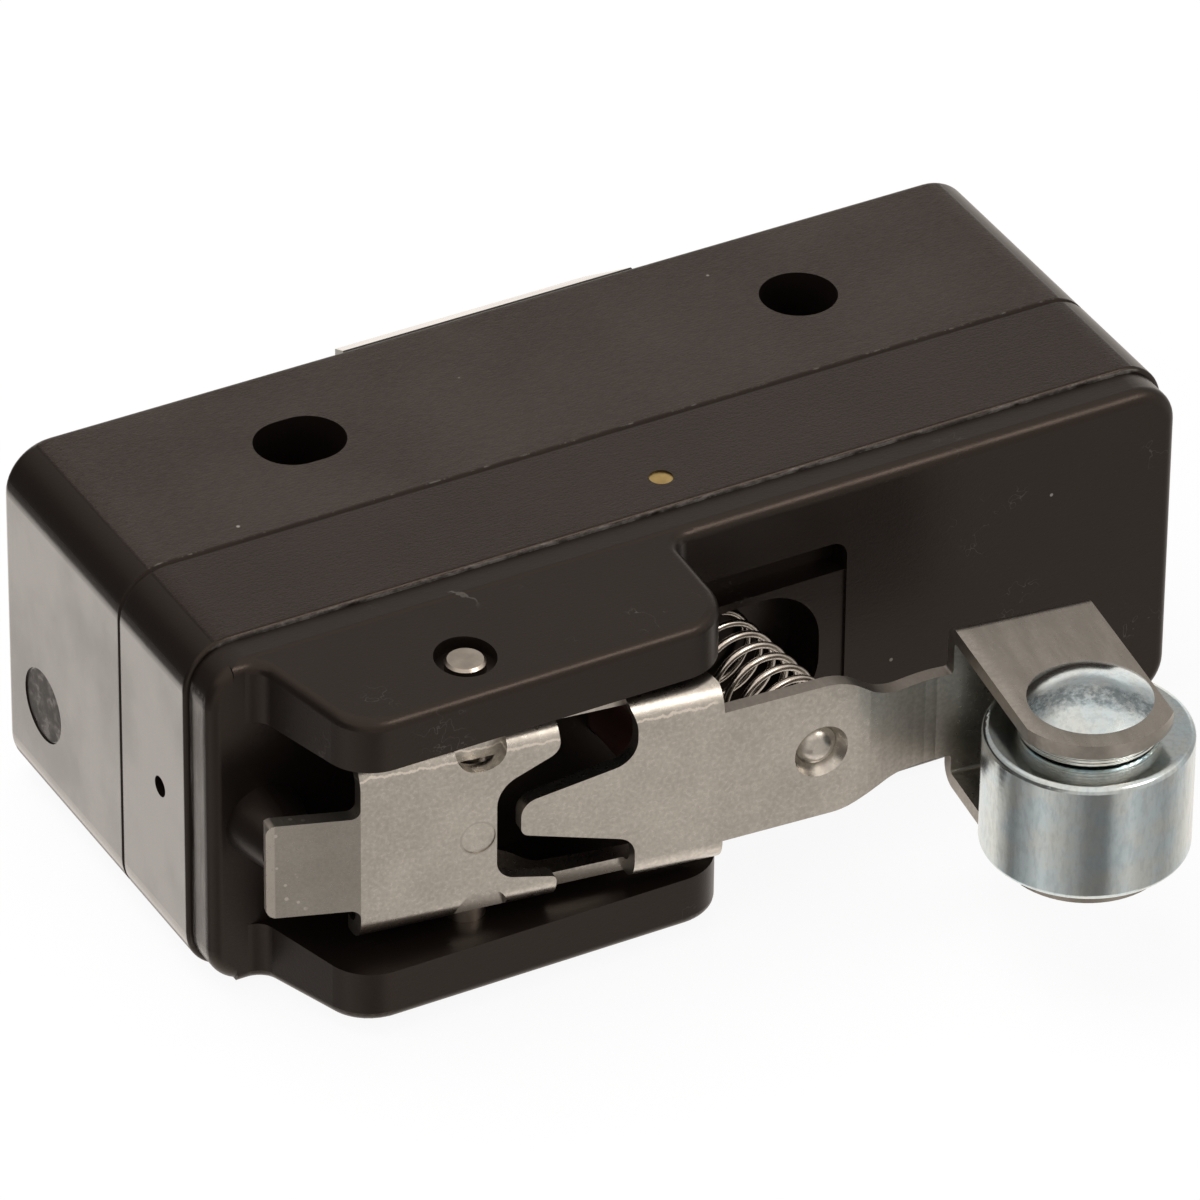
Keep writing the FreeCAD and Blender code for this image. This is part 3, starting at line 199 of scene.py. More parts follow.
class Graph(Nodes):
    """One material's nodes: a Principled surface and the patterns laid on it."""

    def __init__(self, name: str) -> None:
        """Start an empty material with a Principled surface.

        Args:
            name: Name of the material.
        """
        self.material = bpy.data.materials.new(name)
        self.material.use_nodes = True
        super().__init__(self.material.node_tree)
        self.output = self.new("ShaderNodeOutputMaterial")
        self.shader = self.new("ShaderNodeBsdfPrincipled")
        self.join(self.shader.outputs[0], self.output.inputs["Surface"])
        self.coordinates = self.new("ShaderNodeTexCoord")

    def position(self) -> Socket:
        """Place on the piece in millimetres, in the shared frame."""
        scaled = self.new("ShaderNodeVectorMath")
        scaled.operation = "SCALE"
        scaled.inputs["Scale"].default_value = 1.0 / MM
        self.join(self.coordinates.outputs["Object"], scaled.inputs[0])
        return scaled.outputs[0]

    def normal(self) -> Socket:
        """Direction that the surface faces, in the shared frame."""
        return self.coordinates.outputs["Normal"]

    def placed(self, vector: Socket, scale: Triple, shift: Triple = (0.0, 0.0, 0.0)) -> Socket:
        """A vector stretched and then shifted along each axis.

        Args:
            vector: The vector to change.
            scale: Factor along x, y and z.
            shift: Offset added after scaling.

        Returns:
            The changed vector.
        """
        mapping = self.new("ShaderNodeMapping")
        self.join(vector, mapping.inputs["Vector"])
        mapping.inputs["Scale"].default_value = scale
        mapping.inputs["Location"].default_value = shift
        return mapping.outputs[0]

    def band(self, value: object, centre: float, half: float, soft: float) -> Socket:
        """A stripe where a value lies near a centre.

        Args:
            value: The value that is compared.
            centre: Middle of the stripe.
            half: Half its full width.
            soft: Width over which it fades.

        Returns:
            1 inside the stripe and 0 outside.
        """
        away = self.math("ABSOLUTE", self.math("SUBTRACT", value, centre))
        return self.rise(away, half, half + soft, 1.0, 0.0)

    def times(self, *values: object) -> Socket:
        """Product of several values.

        Args:
            values: Sockets and plain numbers, a socket among them.

        Returns:
            Their product.
        """
        product = values[0]
        for value in values[1:]:
            product = self.math("MULTIPLY", product, value)
        return product

    def most(self, *values: object) -> Socket:
        """Largest of several values.

        Args:
            values: Sockets and plain numbers.

        Returns:
            The largest.
        """
        largest = values[0]
        for value in values[1:]:
            largest = self.math("MAXIMUM", largest, value)
        return largest

    def turned(self, vector: Socket, start: Point, degrees: float) -> Socket:
        """A vector read from a start point, with its x axis turned about z.

        Args:
            vector: The vector to change.
            start: Place that becomes the origin.
            degrees: Angle of the new x axis.

        Returns:
            The turned vector.
        """
        angle = math.radians(-degrees)
        cosine, sine = math.cos(angle), math.sin(angle)
        mapping = self.new("ShaderNodeMapping")
        self.join(vector, mapping.inputs["Vector"])
        mapping.inputs["Rotation"].default_value = (0.0, 0.0, angle)
        shift = (-(cosine * start[0] - sine * start[1]), -(sine * start[0] + cosine * start[1]), 0.0)
        mapping.inputs["Location"].default_value = shift
        return mapping.outputs[0]

    def disc(self, across: object, up: object, centre: Point, radius: float, soft: float) -> Socket:
        """A round patch in two coordinates.

        Args:
            across: First coordinate.
            up: Second coordinate.
            centre: Middle of the patch.
            radius: Its radius.
            soft: Width over which it fades.

        Returns:
            1 inside the patch and 0 outside.
        """
        side = self.math("SUBTRACT", across, centre[0])
        rise = self.math("SUBTRACT", up, centre[1])
        square = self.math("ADD", self.math("MULTIPLY", side, side), self.math("MULTIPLY", rise, rise))
        return self.rise(self.math("SQRT", square), radius - soft, radius, 1.0, 0.0)

    def scratch(self, place: Socket, points: tuple[Point, ...], width: float) -> Socket:
        """A hairline scratch through points in plan, wavering a little.

        Args:
            place: Place in millimetres.
            points: Corners of the scratch, as x and y.
            width: Width of the line.

        Returns:
            1 on the scratch and 0 elsewhere.
        """
        waver = self.math("MULTIPLY", self.math("SUBTRACT", self.noise(place, 1.4, 3.0, 0.6), 0.5), 0.9)
        lines = []
        for start, stop in zip(points, points[1:]):
            run, rise = stop[0] - start[0], stop[1] - start[1]
            along, across, _ = self.split(self.turned(place, start, math.degrees(math.atan2(rise, run))))
            length = math.hypot(run, rise)
            line = self.band(self.math("ADD", across, waver), 0.0, width * 0.4, width * 0.6)
            lines.append(self.math("MULTIPLY", line, self.band(along, length / 2.0, length / 2.0, 0.1)))
        return self.most(*lines)

    def noise(self, vector: Socket, scale: float, detail: float = 3.0, rough: float = 0.5) -> Socket:
        """Cloudy noise between 0 and 1.

        Args:
            vector: Where it is read.
            scale: Features per unit.
            detail: Number of finer layers.
            rough: Weight of the finer layers.

        Returns:
            The noise value.
        """
        cloud = self.new("ShaderNodeTexNoise")
        self.join(vector, cloud.inputs["Vector"])
        cloud.inputs["Scale"].default_value = scale
        cloud.inputs["Detail"].default_value = detail
        cloud.inputs["Roughness"].default_value = rough
        return cloud.outputs[0]

    def cells(self, vector: Socket, scale: float) -> tuple[Socket, Socket]:
        """Scattered points: distance to the nearest one and its own random colour.

        Args:
            vector: Where it is read.
            scale: Points per unit.

        Returns:
            Distance and colour outputs.
        """
        points = self.new("ShaderNodeTexVoronoi")
        self.join(vector, points.inputs["Vector"])
        points.inputs["Scale"].default_value = scale
        return points.outputs["Distance"], points.outputs["Color"]

    def specks(self, vector: Socket, scale: float, size: float, share: float) -> Socket:
        """Round specks on a share of the scattered points.

        Args:
            vector: Where it is read.
            scale: Points per unit.
            size: Radius of a speck as a share of the spacing.
            share: Share of the points that have one.

        Returns:
            1 inside a speck and 0 outside.
        """
        distance, colour = self.cells(vector, scale)
        chosen = self.rise(self.split(colour)[0], 1.0 - share, 1.0 - share * 0.98)
        inside = self.rise(distance, size * 0.6, size, 1.0, 0.0)
        return self.math("MULTIPLY", chosen, inside)

    def bump(self, height: object, depth: float) -> None:
        """Give the surface fine relief.

        Args:
            height: Relief between 0 and 1.
            depth: Height of the relief in millimetres.
        """
        relief = self.new("ShaderNodeBump")
        relief.inputs["Distance"].default_value = depth * MM
        self.join(height, relief.inputs["Height"])
        self.join(relief.outputs[0], self.shader.inputs["Normal"])

    def surface(self, **values: object) -> bpy.types.Material:
        """Set the Principled surface's inputs.

        Args:
            values: Input names with underscores for spaces, and what goes to each.

        Returns:
            The finished material.
        """
        for name, value in values.items():
            self.join(value, self.shader.inputs[name.replace("_", " ")])
        return self.material


@dataclass(frozen=True)
class CasePlastic:
    """Black moulded thermoset: matte grained sides with a painted sheen, smoother front, polished ends, and a
    painted highlight along the step's edge.
    """

    dark: Colour = (0.0060, 0.0042, 0.0034)
    # Lighter haze of the top and bottom faces: the moulding's grain, plus painted sheen that lifts these faces
    # above the front and ends.
    sheen_haze: Colour = (0.026, 0.0200, 0.0175)
    front_sheen_haze: Colour = (0.0110, 0.0078, 0.0068)
    # Light colour of chips, scratches and dust, and of the painted highlight on the step's edge.
    chip_and_highlight: Colour = (0.34, 0.31, 0.28)
    scuff: Colour = (0.055, 0.051, 0.048)
    ior: float = 1.43
    tint: Colour = (1.0, 0.82, 0.71)
    end_rough: float = 0.27
    side_rough: float = 0.44
    relief_depth: float = 0.09
    polish_ior: float = 2.7
    polish_rough: float = 0.14
    step_highlight: float = 0.36
    seam_wear: float = 0.24
    hair_wear: float = 0.11
    cheek_wear: float = 0.16
    front_wear: float = 0.14
    dust_wear: float = 0.65
    side_z: float = 17.4
    middle_z: float = 8.75
    end_x: float = 24.25
    step_y: float = -12.15
    seam_y: float = -5.85
    mark: Point = (2.0, 5.8)
    mark_r: float = 1.79
    cheek_scratch: tuple[Point, ...] = ((-21.6, -17.0), (-19.5, -17.35), (-16.8, -17.25), (-14.9, -16.9))
    front_scratch: tuple[Point, ...] = ((-12.2, -13.2), (-11.4, -14.1), (-11.6, -14.9), (-10.6, -15.6))

    def wear_and_step_highlight(self, g: Graph, place: Socket, height: Socket) -> Socket:
        """Chips along the seam, a pale broken line along the step's edge that is partly mould flash and partly a
        painted highlight, hairline scratches, and specks of dust.

        Args:
            g: The material's graph.
            place: Place in millimetres.
            height: Distance from the case's middle plane.

        Returns:
            Share of the light colour of wear and of the painted step highlight.
        """
        y = g.split(place)[1]
        outer = g.rise(height, 8.35, 8.45)
        broken = g.rise(g.noise(g.placed(place, (2.2, 1.0, 2.2)), 1.0, 4.0, 0.7), 0.52, 0.64)
        uneven = g.rise(g.noise(g.placed(place, (1.1, 1.0, 1.0)), 1.0, 5.0, 0.75), 0.40, 0.62, 0.25, 1.0)
        waver = g.math("MULTIPLY", g.math("SUBTRACT", g.noise(place, 0.9, 5.0, 0.7), 0.5), 0.16)
        # Painted highlight: a pale broken line along the step's edge, partly mould flash.
        edge = g.band(g.math("ADD", y, waver), self.step_y + 0.01, 0.008, 0.03)
        step = g.times(edge, outer, uneven, self.step_highlight)
        lip = g.band(y, self.seam_y + 0.16, 0.02, 0.05)
        seam = g.times(lip, g.rise(height, 8.6, 8.7), broken, self.seam_wear)
        thread = g.math("ABSOLUTE", g.math("SUBTRACT", g.noise(place, 0.55, 3.0, 0.6), 0.5))
        patch = g.rise(g.noise(g.placed(place, (1.0, 1.0, 1.0), (7.0, 3.0, 1.0)), 0.32, 1.0, 0.5), 0.62, 0.70)
        front = g.rise(y, self.step_y - 0.2, self.step_y, 1.0, 0.0)
        hair = g.times(g.rise(thread, 0.0015, 0.005, 1.0, 0.0), patch, front, self.hair_wear)
        lines = g.math("MULTIPLY", g.scratch(place, self.cheek_scratch, 0.07), self.cheek_wear)
        painted_highlights = g.math("MULTIPLY", g.scratch(place, self.front_scratch, 0.06), self.front_wear)
        dust = g.math("MULTIPLY", g.specks(place, 0.5, 0.055, 0.12), self.dust_wear)
        return g.most(step, seam, hair, g.math("MULTIPLY", g.most(lines, painted_highlights), outer), dust)

    def material(self) -> bpy.types.Material:
        """Build the finish."""
        g = Graph("case_plastic_moulded")
        place = g.position()
        x, y, z = g.split(place)
        nx, _, nz = g.split(g.normal())
        height = g.math("ABSOLUTE", g.math("SUBTRACT", z, self.middle_z))
        half = self.side_z - self.middle_z
        side = g.times(g.rise(g.math("ABSOLUTE", nz), 0.85, 0.97), g.rise(height, half - 0.06, half))
        outermost = g.rise(g.math("ABSOLUTE", x), self.end_x, self.end_x + 0.1)
        end = g.times(g.rise(g.math("ABSOLUTE", nx), 0.93, 0.975), outermost)
        strip = g.times(end, g.rise(y, self.step_y - 0.05, self.step_y, 1.0, 0.0))
        disc = g.times(g.disc(y, z, self.mark, self.mark_r, 0.12), g.rise(x, -24.0, -23.5, 1.0, 0.0))
        grain = g.noise(g.placed(place, (1.0, 2.6, 2.6)), 2.6, 4.0, 0.62)
        fine = g.noise(g.placed(place, (1.0, 1.6, 1.6)), 7.0, 2.0, 0.6)
        cloud = g.noise(place, 0.12, 2.0, 0.5)
        smudge = g.noise(g.placed(place, (1.0, 0.8, 0.7)), 0.26, 4.0, 0.5)
        scuffs = g.noise(g.placed(place, (1.0, 5.0, 0.35)), 1.2, 5.0, 0.7)
        slope = g.times(g.rise(y, 5.75, 5.85), g.rise(g.math("ABSOLUTE", nz), 0.5, 0.7))
        smooth_front = g.rise(y, self.step_y - 0.1, self.step_y, 0.4, 1.0)
        # Painted sheen: the broad top and bottom faces get a lighter, patchy haze, partly grain and partly painted
        # sheen that makes them lighter than the front and end faces. It is weaker on the cheek tops in front of the
        # step, and darker on the cover's part than on the base's.
        patches = g.math("ADD", g.rise(grain, 0.32, 0.70, 0.25, 0.75), g.rise(cloud, 0.35, 0.7, 0.0, 0.35))
        sheen_haze = g.times(side, smooth_front, patches)
        sheen_haze_colour = g.mix(g.rise(y, self.seam_y - 0.1, self.seam_y), self.front_sheen_haze, self.sheen_haze)
        colour = g.mix(sheen_haze, self.dark, sheen_haze_colour)
        mottle = g.rise(g.noise(place, 1.3, 4.0, 0.65), 0.35, 0.62)
        colour = g.mix(g.times(disc, g.math("ADD", 0.35, g.math("MULTIPLY", mottle, 0.65))), colour, self.scuff)
        colour = g.mix(g.times(strip, g.rise(scuffs, 0.4, 0.65)), colour, self.scuff)
        # Wear and the painted step highlight, in the light colour.
        colour = g.mix(self.wear_and_step_highlight(g, place, height), colour, self.chip_and_highlight)
        smooth = g.math("ADD", self.end_rough, g.math("MULTIPLY", smudge, 0.10))
        matte = g.math("ADD", self.side_rough, g.math("MULTIPLY", fine, 0.20))
        rough = g.math("ADD", g.times(side, g.math("SUBTRACT", matte, smooth)), smooth)
        rough = g.math("SUBTRACT", rough, g.math("MULTIPLY", g.most(end, slope), 0.10))
        seam = g.band(y, self.seam_y, 0.12, 0.12)
        rough = g.math("ADD", rough, g.most(g.times(disc, mottle, 0.45), g.math("MULTIPLY", seam, 0.4)))
        scuffed = g.times(strip, g.rise(scuffs, 0.35, 0.65, 0.62, 0.95))
        polish = g.math("SUBTRACT", g.rise(smudge, 0.30, 0.62, 0.72, 1.0), scuffed)
        coat = g.times(g.most(end, slope), g.math("SUBTRACT", 1.0, disc), polish)
        relief = g.math("ADD", g.math("MULTIPLY", grain, 0.5), g.math("MULTIPLY", fine, 0.5))
        grained = g.math("ADD", g.math("MULTIPLY", side, 0.88), 0.12)
        relief = g.times(relief, grained, g.math("SUBTRACT", 1.0, seam))
        g.bump(relief, self.relief_depth)
        return g.surface(
            Base_Color=colour, Roughness=rough, IOR=self.ior, Specular_Tint=self.tint,
            Coat_Weight=coat, Coat_Roughness=self.polish_rough, Coat_IOR=self.polish_ior,
        )


@dataclass(frozen=True)
class SheetSteel:
    """Rolled stainless sheet: satin faces, rough dark sheared edges, a darker fork, a painted dark ring at the
    coined mark, and painted highlights on the tab, its end and the upper bend.
    """

    bright: Colour = (0.60, 0.568, 0.520)
    dull: Colour = (0.41, 0.387, 0.352)
    # Darker colour given to the fork.
    uneven: Colour = (0.33, 0.308, 0.280)
    sheared: Colour = (0.36, 0.33, 0.30)
    # Light colour of the painted highlights.
    mark: Colour = (0.86, 0.80, 0.73)
    pivot: Point = (-13.7, -17.45)
    tilt: float = -7.3
    rough: float = 0.27
    relief_depth: float = 0.0022
    coin: Point = (-0.05, 8.45)
    coin_r: float = 0.82
    tab_end: float = -9.56
    bend_z: float = 12.72

    def edges(self, g: Graph, place: Socket) -> Socket:
        """Cut faces of the sheet: ends, the blade's and tab's long edges and the fork's rims.

        Args:
            g: The material's graph.
            place: Place about the pivot, along the lever.

        Returns:
            1 on a cut face and 0 elsewhere.
        """
        x, y, _ = g.split(place)
        nx, _, nz = g.split(g.turned(g.normal(), (0.0, 0.0), self.tilt))
        flat = g.math("ABSOLUTE", nz)
        ends = g.rise(g.math("ABSOLUTE", nx), 0.80, 0.92)
        blade = g.times(g.rise(flat, 0.85, 0.95), g.band(x, 17.1, 5.6, 0.05), g.rise(y, -2.2, -2.1))
        tab = g.times(g.rise(flat, 0.85, 0.95), g.rise(x, -5.62, -5.55, 1.0, 0.0))
        rims = g.times(g.rise(flat, 0.25, 0.45, 1.0, 0.0), g.rise(y, -2.3, -2.2, 1.0, 0.0), 0.35)
        return g.most(ends, blade, tab, rims)

    def painted_highlights(self, g: Graph, place: Socket) -> Socket:
        """Painted highlights: light glints on pits in the tab, a light band on its rolled end, and a light wavy
        line on the upper bend along its burr.

        Args:
            g: The material's graph.
            place: Place about the pivot, along the lever.

        Returns:
            Share of the light colour.
        """
        x, _, z = g.split(place)
        # Pits on the tab painted as light glints.
        pit_glints = g.specks(place, 2.2, 0.26, 0.45)
        pit_glints = g.times(pit_glints, g.band(x, -8.6, 0.5, 0.5), 0.85)
        # Painted highlight on the tab's rolled end.
        lip = g.times(g.rise(x, self.tab_end + 0.34, self.tab_end + 0.42, 1.0, 0.0), 0.55)
        ragged = g.noise(g.placed(place, (1.0, 1.0, 0.2)), 1.3, 4.0, 0.65)
        wave = g.math("MULTIPLY", g.math("SUBTRACT", ragged, 0.5), 0.55)
        along = g.times(g.rise(x, 11.0, 11.4, 1.0, 0.0), g.rise(x, -5.6, -5.5))
        # Painted highlight along the upper bend, wavering like a burr.
        bend_highlight = g.times(g.band(g.math("ADD", z, wave), self.bend_z, 0.02, 0.06), along, 0.8)
        return g.most(pit_glints, lip, bend_highlight)

    def material(self) -> bpy.types.Material:
        """Build the finish."""
        g = Graph("lever_steel_satin")
        place = g.turned(g.position(), self.pivot, self.tilt)
        x, y, z = g.split(place)
        speckle = g.noise(place, 5.0, 3.0, 0.6)
        rolled = g.noise(g.placed(place, (0.35, 3.0, 3.0)), 2.0, 4.0, 0.6)
        cloud = g.noise(place, 0.30, 3.0, 0.55)
        edge = self.edges(g, place)
        tone = g.math("ADD", g.rise(cloud, 0.3, 0.7, 0.0, 0.40), g.rise(speckle, 0.30, 0.70, 0.0, 0.60))
        colour = g.mix(tone, self.bright, self.dull)
        # The fork's part of the sheet is given a darker colour, in streaks.
        fork = g.rise(x, 23.0, 23.6)
        streak = g.rise(g.noise(g.placed(place, (1.5, 0.3, 1.5)), 1.2, 4.0, 0.6), 0.35, 0.65)
        colour = g.mix(g.times(fork, g.math("ADD", 0.55, g.math("MULTIPLY", streak, 0.35))), colour, self.uneven)
        # Painted shade: a dark ring in the sheared colour round the rim of the coined mark's shallow recess.
        outer = g.disc(x, z, self.coin, self.coin_r + 0.07, 0.04)
        inner = g.disc(x, z, self.coin, self.coin_r - 0.05, 0.05)
        ring = g.math("SUBTRACT", outer, inner)
        ring = g.times(ring, g.rise(y, -1.6, -1.5, 1.0, 0.0), 0.6)
        torn = g.noise(g.placed(place, (3.0, 0.8, 0.8)), 2.5, 4.0, 0.7)
        colour = g.mix(g.math("MULTIPLY", ring, 0.8), colour, self.sheared)
        colour = g.mix(g.times(edge, g.rise(torn, 0.2, 0.7, 1.0, 0.45)), colour, self.sheared)
        # Painted highlights in the light colour.
        colour = g.mix(self.painted_highlights(g, place), colour, self.mark)
        rough = g.math("ADD", self.rough - 0.05, g.math("MULTIPLY", speckle, 0.14))
        rough = g.math("ADD", rough, g.math("MULTIPLY", g.most(edge, g.band(x, 21.0, 1.3, 0.8)), 0.12))
        relief = g.math("ADD", g.math("MULTIPLY", speckle, 0.55), g.math("MULTIPLY", rolled, 0.45))
        relief = g.math("ADD", relief, g.times(edge, torn, 2.5))
        g.bump(relief, self.relief_depth)
        return g.surface(Base_Color=colour, Metallic=1.0, Roughness=rough)


@dataclass(frozen=True)
class PlatedSteel:
    """Zinc-plated steel with bluish and straw tints, a soft grain, faint turned rings, and, where set, a painted
    dark reflection band.
    """

    name: str
    blue: Colour = (0.58, 0.69, 0.75)
    straw: Colour = (0.64, 0.69, 0.69)
    # Dark colour of stains in the grain and of the painted dark reflection band.
    stain_and_dark_reflection: Colour = (0.13, 0.16, 0.18)
    rough: float = 0.13
    relief_depth: float = 0.008
    ring_pitch: float = 0.0
    ring_depth: float = 0.15
    grain: Triple = (1.0, 1.0, 1.0)
    dark_band_y: float | None = None
    dark_band_slope: float = 0.0

    def material(self) -> bpy.types.Material:
        """Build the finish."""
        g = Graph(self.name)
        place = g.position()
        x, y, z = g.split(place)
        cloud = g.noise(place, 0.55, 4.0, 0.6)
        speckle = g.noise(g.placed(place, self.grain), 4.0, 4.0, 0.6)
        colour = g.mix(g.rise(cloud, 0.35, 0.65), self.blue, self.straw)
        colour = g.mix(g.rise(speckle, 0.42, 0.66, 0.0, 0.16), colour, self.stain_and_dark_reflection)
        rough = g.math("ADD", self.rough, g.math("MULTIPLY", speckle, 0.08))
        relief = g.math("MULTIPLY", speckle, 0.3)
        # Painted reflection: a dark, rougher band across the piece, which on the rivet's dome stands in for a
        # darker reflection.
        if self.dark_band_y is not None:
            ragged = g.math("MULTIPLY", g.math("SUBTRACT", g.noise(place, 1.6, 5.0, 0.7), 0.5), 1.6)
            across = g.math("ADD", g.math("SUBTRACT", y, g.math("MULTIPLY", x, self.dark_band_slope)), ragged)
            patchy = g.rise(g.noise(place, 3.0, 5.0, 0.7), 0.36, 0.60, 0.40, 1.0)
            dark_band = g.times(g.band(across, self.dark_band_y, 0.28, 0.70), patchy)
            colour = g.mix(g.math("MULTIPLY", dark_band, 0.82), colour, self.stain_and_dark_reflection)
            rough = g.math("ADD", rough, g.math("MULTIPLY", dark_band, 0.14))
            relief = g.math("ADD", relief, g.times(dark_band, g.noise(place, 4.0, 4.0, 0.7), 1.5))
        if self.ring_pitch > 0.0:
            rings = g.math("SINE", g.math("MULTIPLY", z, 2.0 * math.pi / self.ring_pitch))
            relief = g.math("ADD", relief, g.math("MULTIPLY", rings, self.ring_depth))
        g.bump(relief, self.relief_depth)
        return g.surface(Base_Color=colour, Metallic=1.0, Roughness=rough)


@dataclass(frozen=True)
class PlainMetal:
    """Drawn or machined metal with faint lines and tarnish clouds."""

    name: str
    bright: Colour
    dull: Colour
    rough: float = 0.25
    relief_depth: float = 0.006
    stretch: Triple = (1.0, 1.0, 1.0)

    def material(self) -> bpy.types.Material:
        """Build the finish."""
        g = Graph(self.name)
        place = g.position()
        lines = g.noise(g.placed(place, self.stretch), 4.0, 4.0, 0.6)
        cloud = g.noise(place, 0.9, 3.0, 0.55)
        colour = g.mix(g.rise(cloud, 0.3, 0.75), self.bright, self.dull)
        g.bump(lines, self.relief_depth)
        rough = g.math("ADD", self.rough, g.math("MULTIPLY", lines, 0.12))
        return g.surface(Base_Color=colour, Metallic=1.0, Roughness=rough)


@dataclass(frozen=True)
class PlungerPlastic:
    """Smooth filled plastic of the plunger."""

    dark: Colour = (0.035, 0.014, 0.010)
    light: Colour = (0.060, 0.026, 0.018)
    ior: float = 1.53
    rough: float = 0.28
    relief_depth: float = 0.01

    def material(self) -> bpy.types.Material:
        """Build the finish."""
        g = Graph("plunger_plastic_smooth")
        place = g.position()
        flow = g.noise(g.placed(place, (2.0, 0.5, 2.0)), 1.5, 4.0, 0.6)
        g.bump(flow, self.relief_depth)
        rough = g.math("ADD", self.rough, g.math("MULTIPLY", flow, 0.15))
        return g.surface(Base_Color=g.mix(flow, self.dark, self.light), Roughness=rough, IOR=self.ior)


@dataclass(frozen=True)
class StudioFloor:
    """Plain white table that keeps a faint shadow."""

    white: Colour = (0.86, 0.86, 0.86)
    shade: float = 0.08

    def material(self) -> bpy.types.Material:
        """Build the floor: lit white, with the camera seeing mostly plain white."""
        g = Graph("floor_white")
        diffuse = g.new("ShaderNodeBsdfDiffuse")
        g.join(self.white, diffuse.inputs["Color"])
        path = g.new("ShaderNodeLightPath")
        mixer = g.new("ShaderNodeMixShader")
        g.join(g.math("MULTIPLY", path.outputs["Is Camera Ray"], 1.0 - self.shade), mixer.inputs[0])
        g.join(diffuse.outputs[0], mixer.inputs[1])
        g.join(g.new("ShaderNodeEmission").outputs[0], mixer.inputs[2])
        g.join(mixer.outputs[0], g.output.inputs["Surface"])
        g.tree.nodes.remove(g.shader)
        return g.material


def grid_mesh(name: str, points: np.ndarray, around: bool, cap: bool) -> bpy.types.Object:
    """Mesh from a grid of points: rows run along the shape and columns across it.

    Each cell between neighbouring rows and columns is one four-sided face.

    Args:
        name: Name of the piece.
        points: Array of rows by columns by 3, in metres.
        around: Join the last column to the first.
        cap: Close the first and last row with one face each.

    Returns:
        The new object.
    """
    rows, columns = points.shape[:2]
    index = np.arange(rows * columns).reshape(rows, columns)
    right = np.roll(index, -1, axis=1)
    width = columns if around else columns - 1
    quads = np.stack((index[:-1, :width], right[:-1, :width], right[1:, :width], index[1:, :width]), axis=-1)
    faces = quads.reshape(-1, 4).tolist()
    if cap:
        faces.append(index[0, ::-1].tolist())
        faces.append(index[-1].tolist())
    mesh = bpy.data.meshes.new(name)
    mesh.from_pydata(points.reshape(-1, 3).tolist(), [], faces)
    mesh.polygons.foreach_set("use_smooth", np.arange(len(faces)) < len(faces) - 2 * int(cap))
    mesh.update()
    piece = bpy.data.objects.new(name, mesh)
    bpy.context.scene.collection.objects.link(piece)
    return piece


def dress(node: str, material: bpy.types.Material) -> None:
    """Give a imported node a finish.

    Args:
        node: Name of the node.
        material: Its finish.
    """
    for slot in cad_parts[node].material_slots:
        slot.material = material


@dataclass(frozen=True)
class ReturnSpring:
    """Round-wire compression coil between the pocket's floor and the lever's boss."""

    floor_seat: Triple = (1.55, -11.2, 8.75)
    boss_seat: Triple = (2.22, -20.285, 8.75)
    boss_lean: float = math.radians(3.66)
    coil_r: float = 2.06
    wire_r: float = 0.17
    turns: float = 9.9
    closed_turns: float = 1.0
    end_gap: float = 0.02
    points_per_turn: int = 48
    wire_sides: int = 12

    def centre_line(self) -> np.ndarray:
        """Points along the wire's middle.

        The coil's plane leans evenly from the floor's to the boss's. The end turns lie at the
        wire's own pitch, and the pitch grows smoothly to that of the open turns between them.

        Returns:
            Array of points by 3, in millimetres.
        """
        count = int(self.turns * self.points_per_turn)
        turn = np.linspace(0.0, self.turns, count)
        edge = np.minimum(turn, self.turns - turn)
        opened = np.clip((edge - self.closed_turns + 0.35) / 0.7, 0.0, 1.0)
        opened = opened * opened * (3.0 - 2.0 * opened)
        floor, boss = np.array(self.floor_seat), np.array(self.boss_seat)
        axis = boss - floor
        span = np.linalg.norm(axis)
        reach = span - 2.0 * (self.wire_r + self.end_gap)
        closed_pitch = 2.0 * self.wire_r * 1.02
        closed_length = closed_pitch * self.turns
        step = turn[1] - turn[0]
        growth = np.concatenate(([0.0], np.cumsum((opened[1:] + opened[:-1]) * step / 2.0)))
        along = closed_pitch * turn + (reach - closed_length) * growth / growth[-1]
        share = (along + self.wire_r + self.end_gap) / span
        lean = self.boss_lean * share
        angle = 2.0 * np.pi * turn
        radius = np.stack((np.cos(lean), np.sin(lean), np.zeros(count)), axis=1)
        middle = floor + axis * share[:, None]
        level = np.array((0.0, 0.0, 1.0))
        return middle + self.coil_r * (np.cos(angle)[:, None] * radius + np.sin(angle)[:, None] * level)

    def build(self, material: bpy.types.Material) -> bpy.types.Object:
        """Sweep the round wire along its middle line.

        A ring of points lies square to the line at each of its points: the line's place plus the
        wire's radius times cosine and sine of the ring's angle along two directions across it.

        Args:
            material: Finish of the wire.

        Returns:
            The coil.
        """
        line = self.centre_line()
        along = np.gradient(line, axis=0)
        along /= np.linalg.norm(along, axis=1)[:, None]
        floor, boss = np.array(self.floor_seat), np.array(self.boss_seat)
        axis = (boss - floor) / np.linalg.norm(boss - floor)
        outward = np.cross(along, axis)
        outward /= np.linalg.norm(outward, axis=1)[:, None]
        upward = np.cross(outward, along)
        angle = np.linspace(0.0, 2.0 * np.pi, self.wire_sides, endpoint=False)
        cosine, sine = np.cos(angle)[None, :, None], np.sin(angle)[None, :, None]
        ring = cosine * outward[:, None, :] + sine * upward[:, None, :]
        points = (line[:, None, :] + self.wire_r * ring) * MM
        piece = grid_mesh("return_spring_coil", points, True, True)
        piece.data.materials.append(material)
        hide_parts("return_spring")
        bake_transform(piece)
        return piece


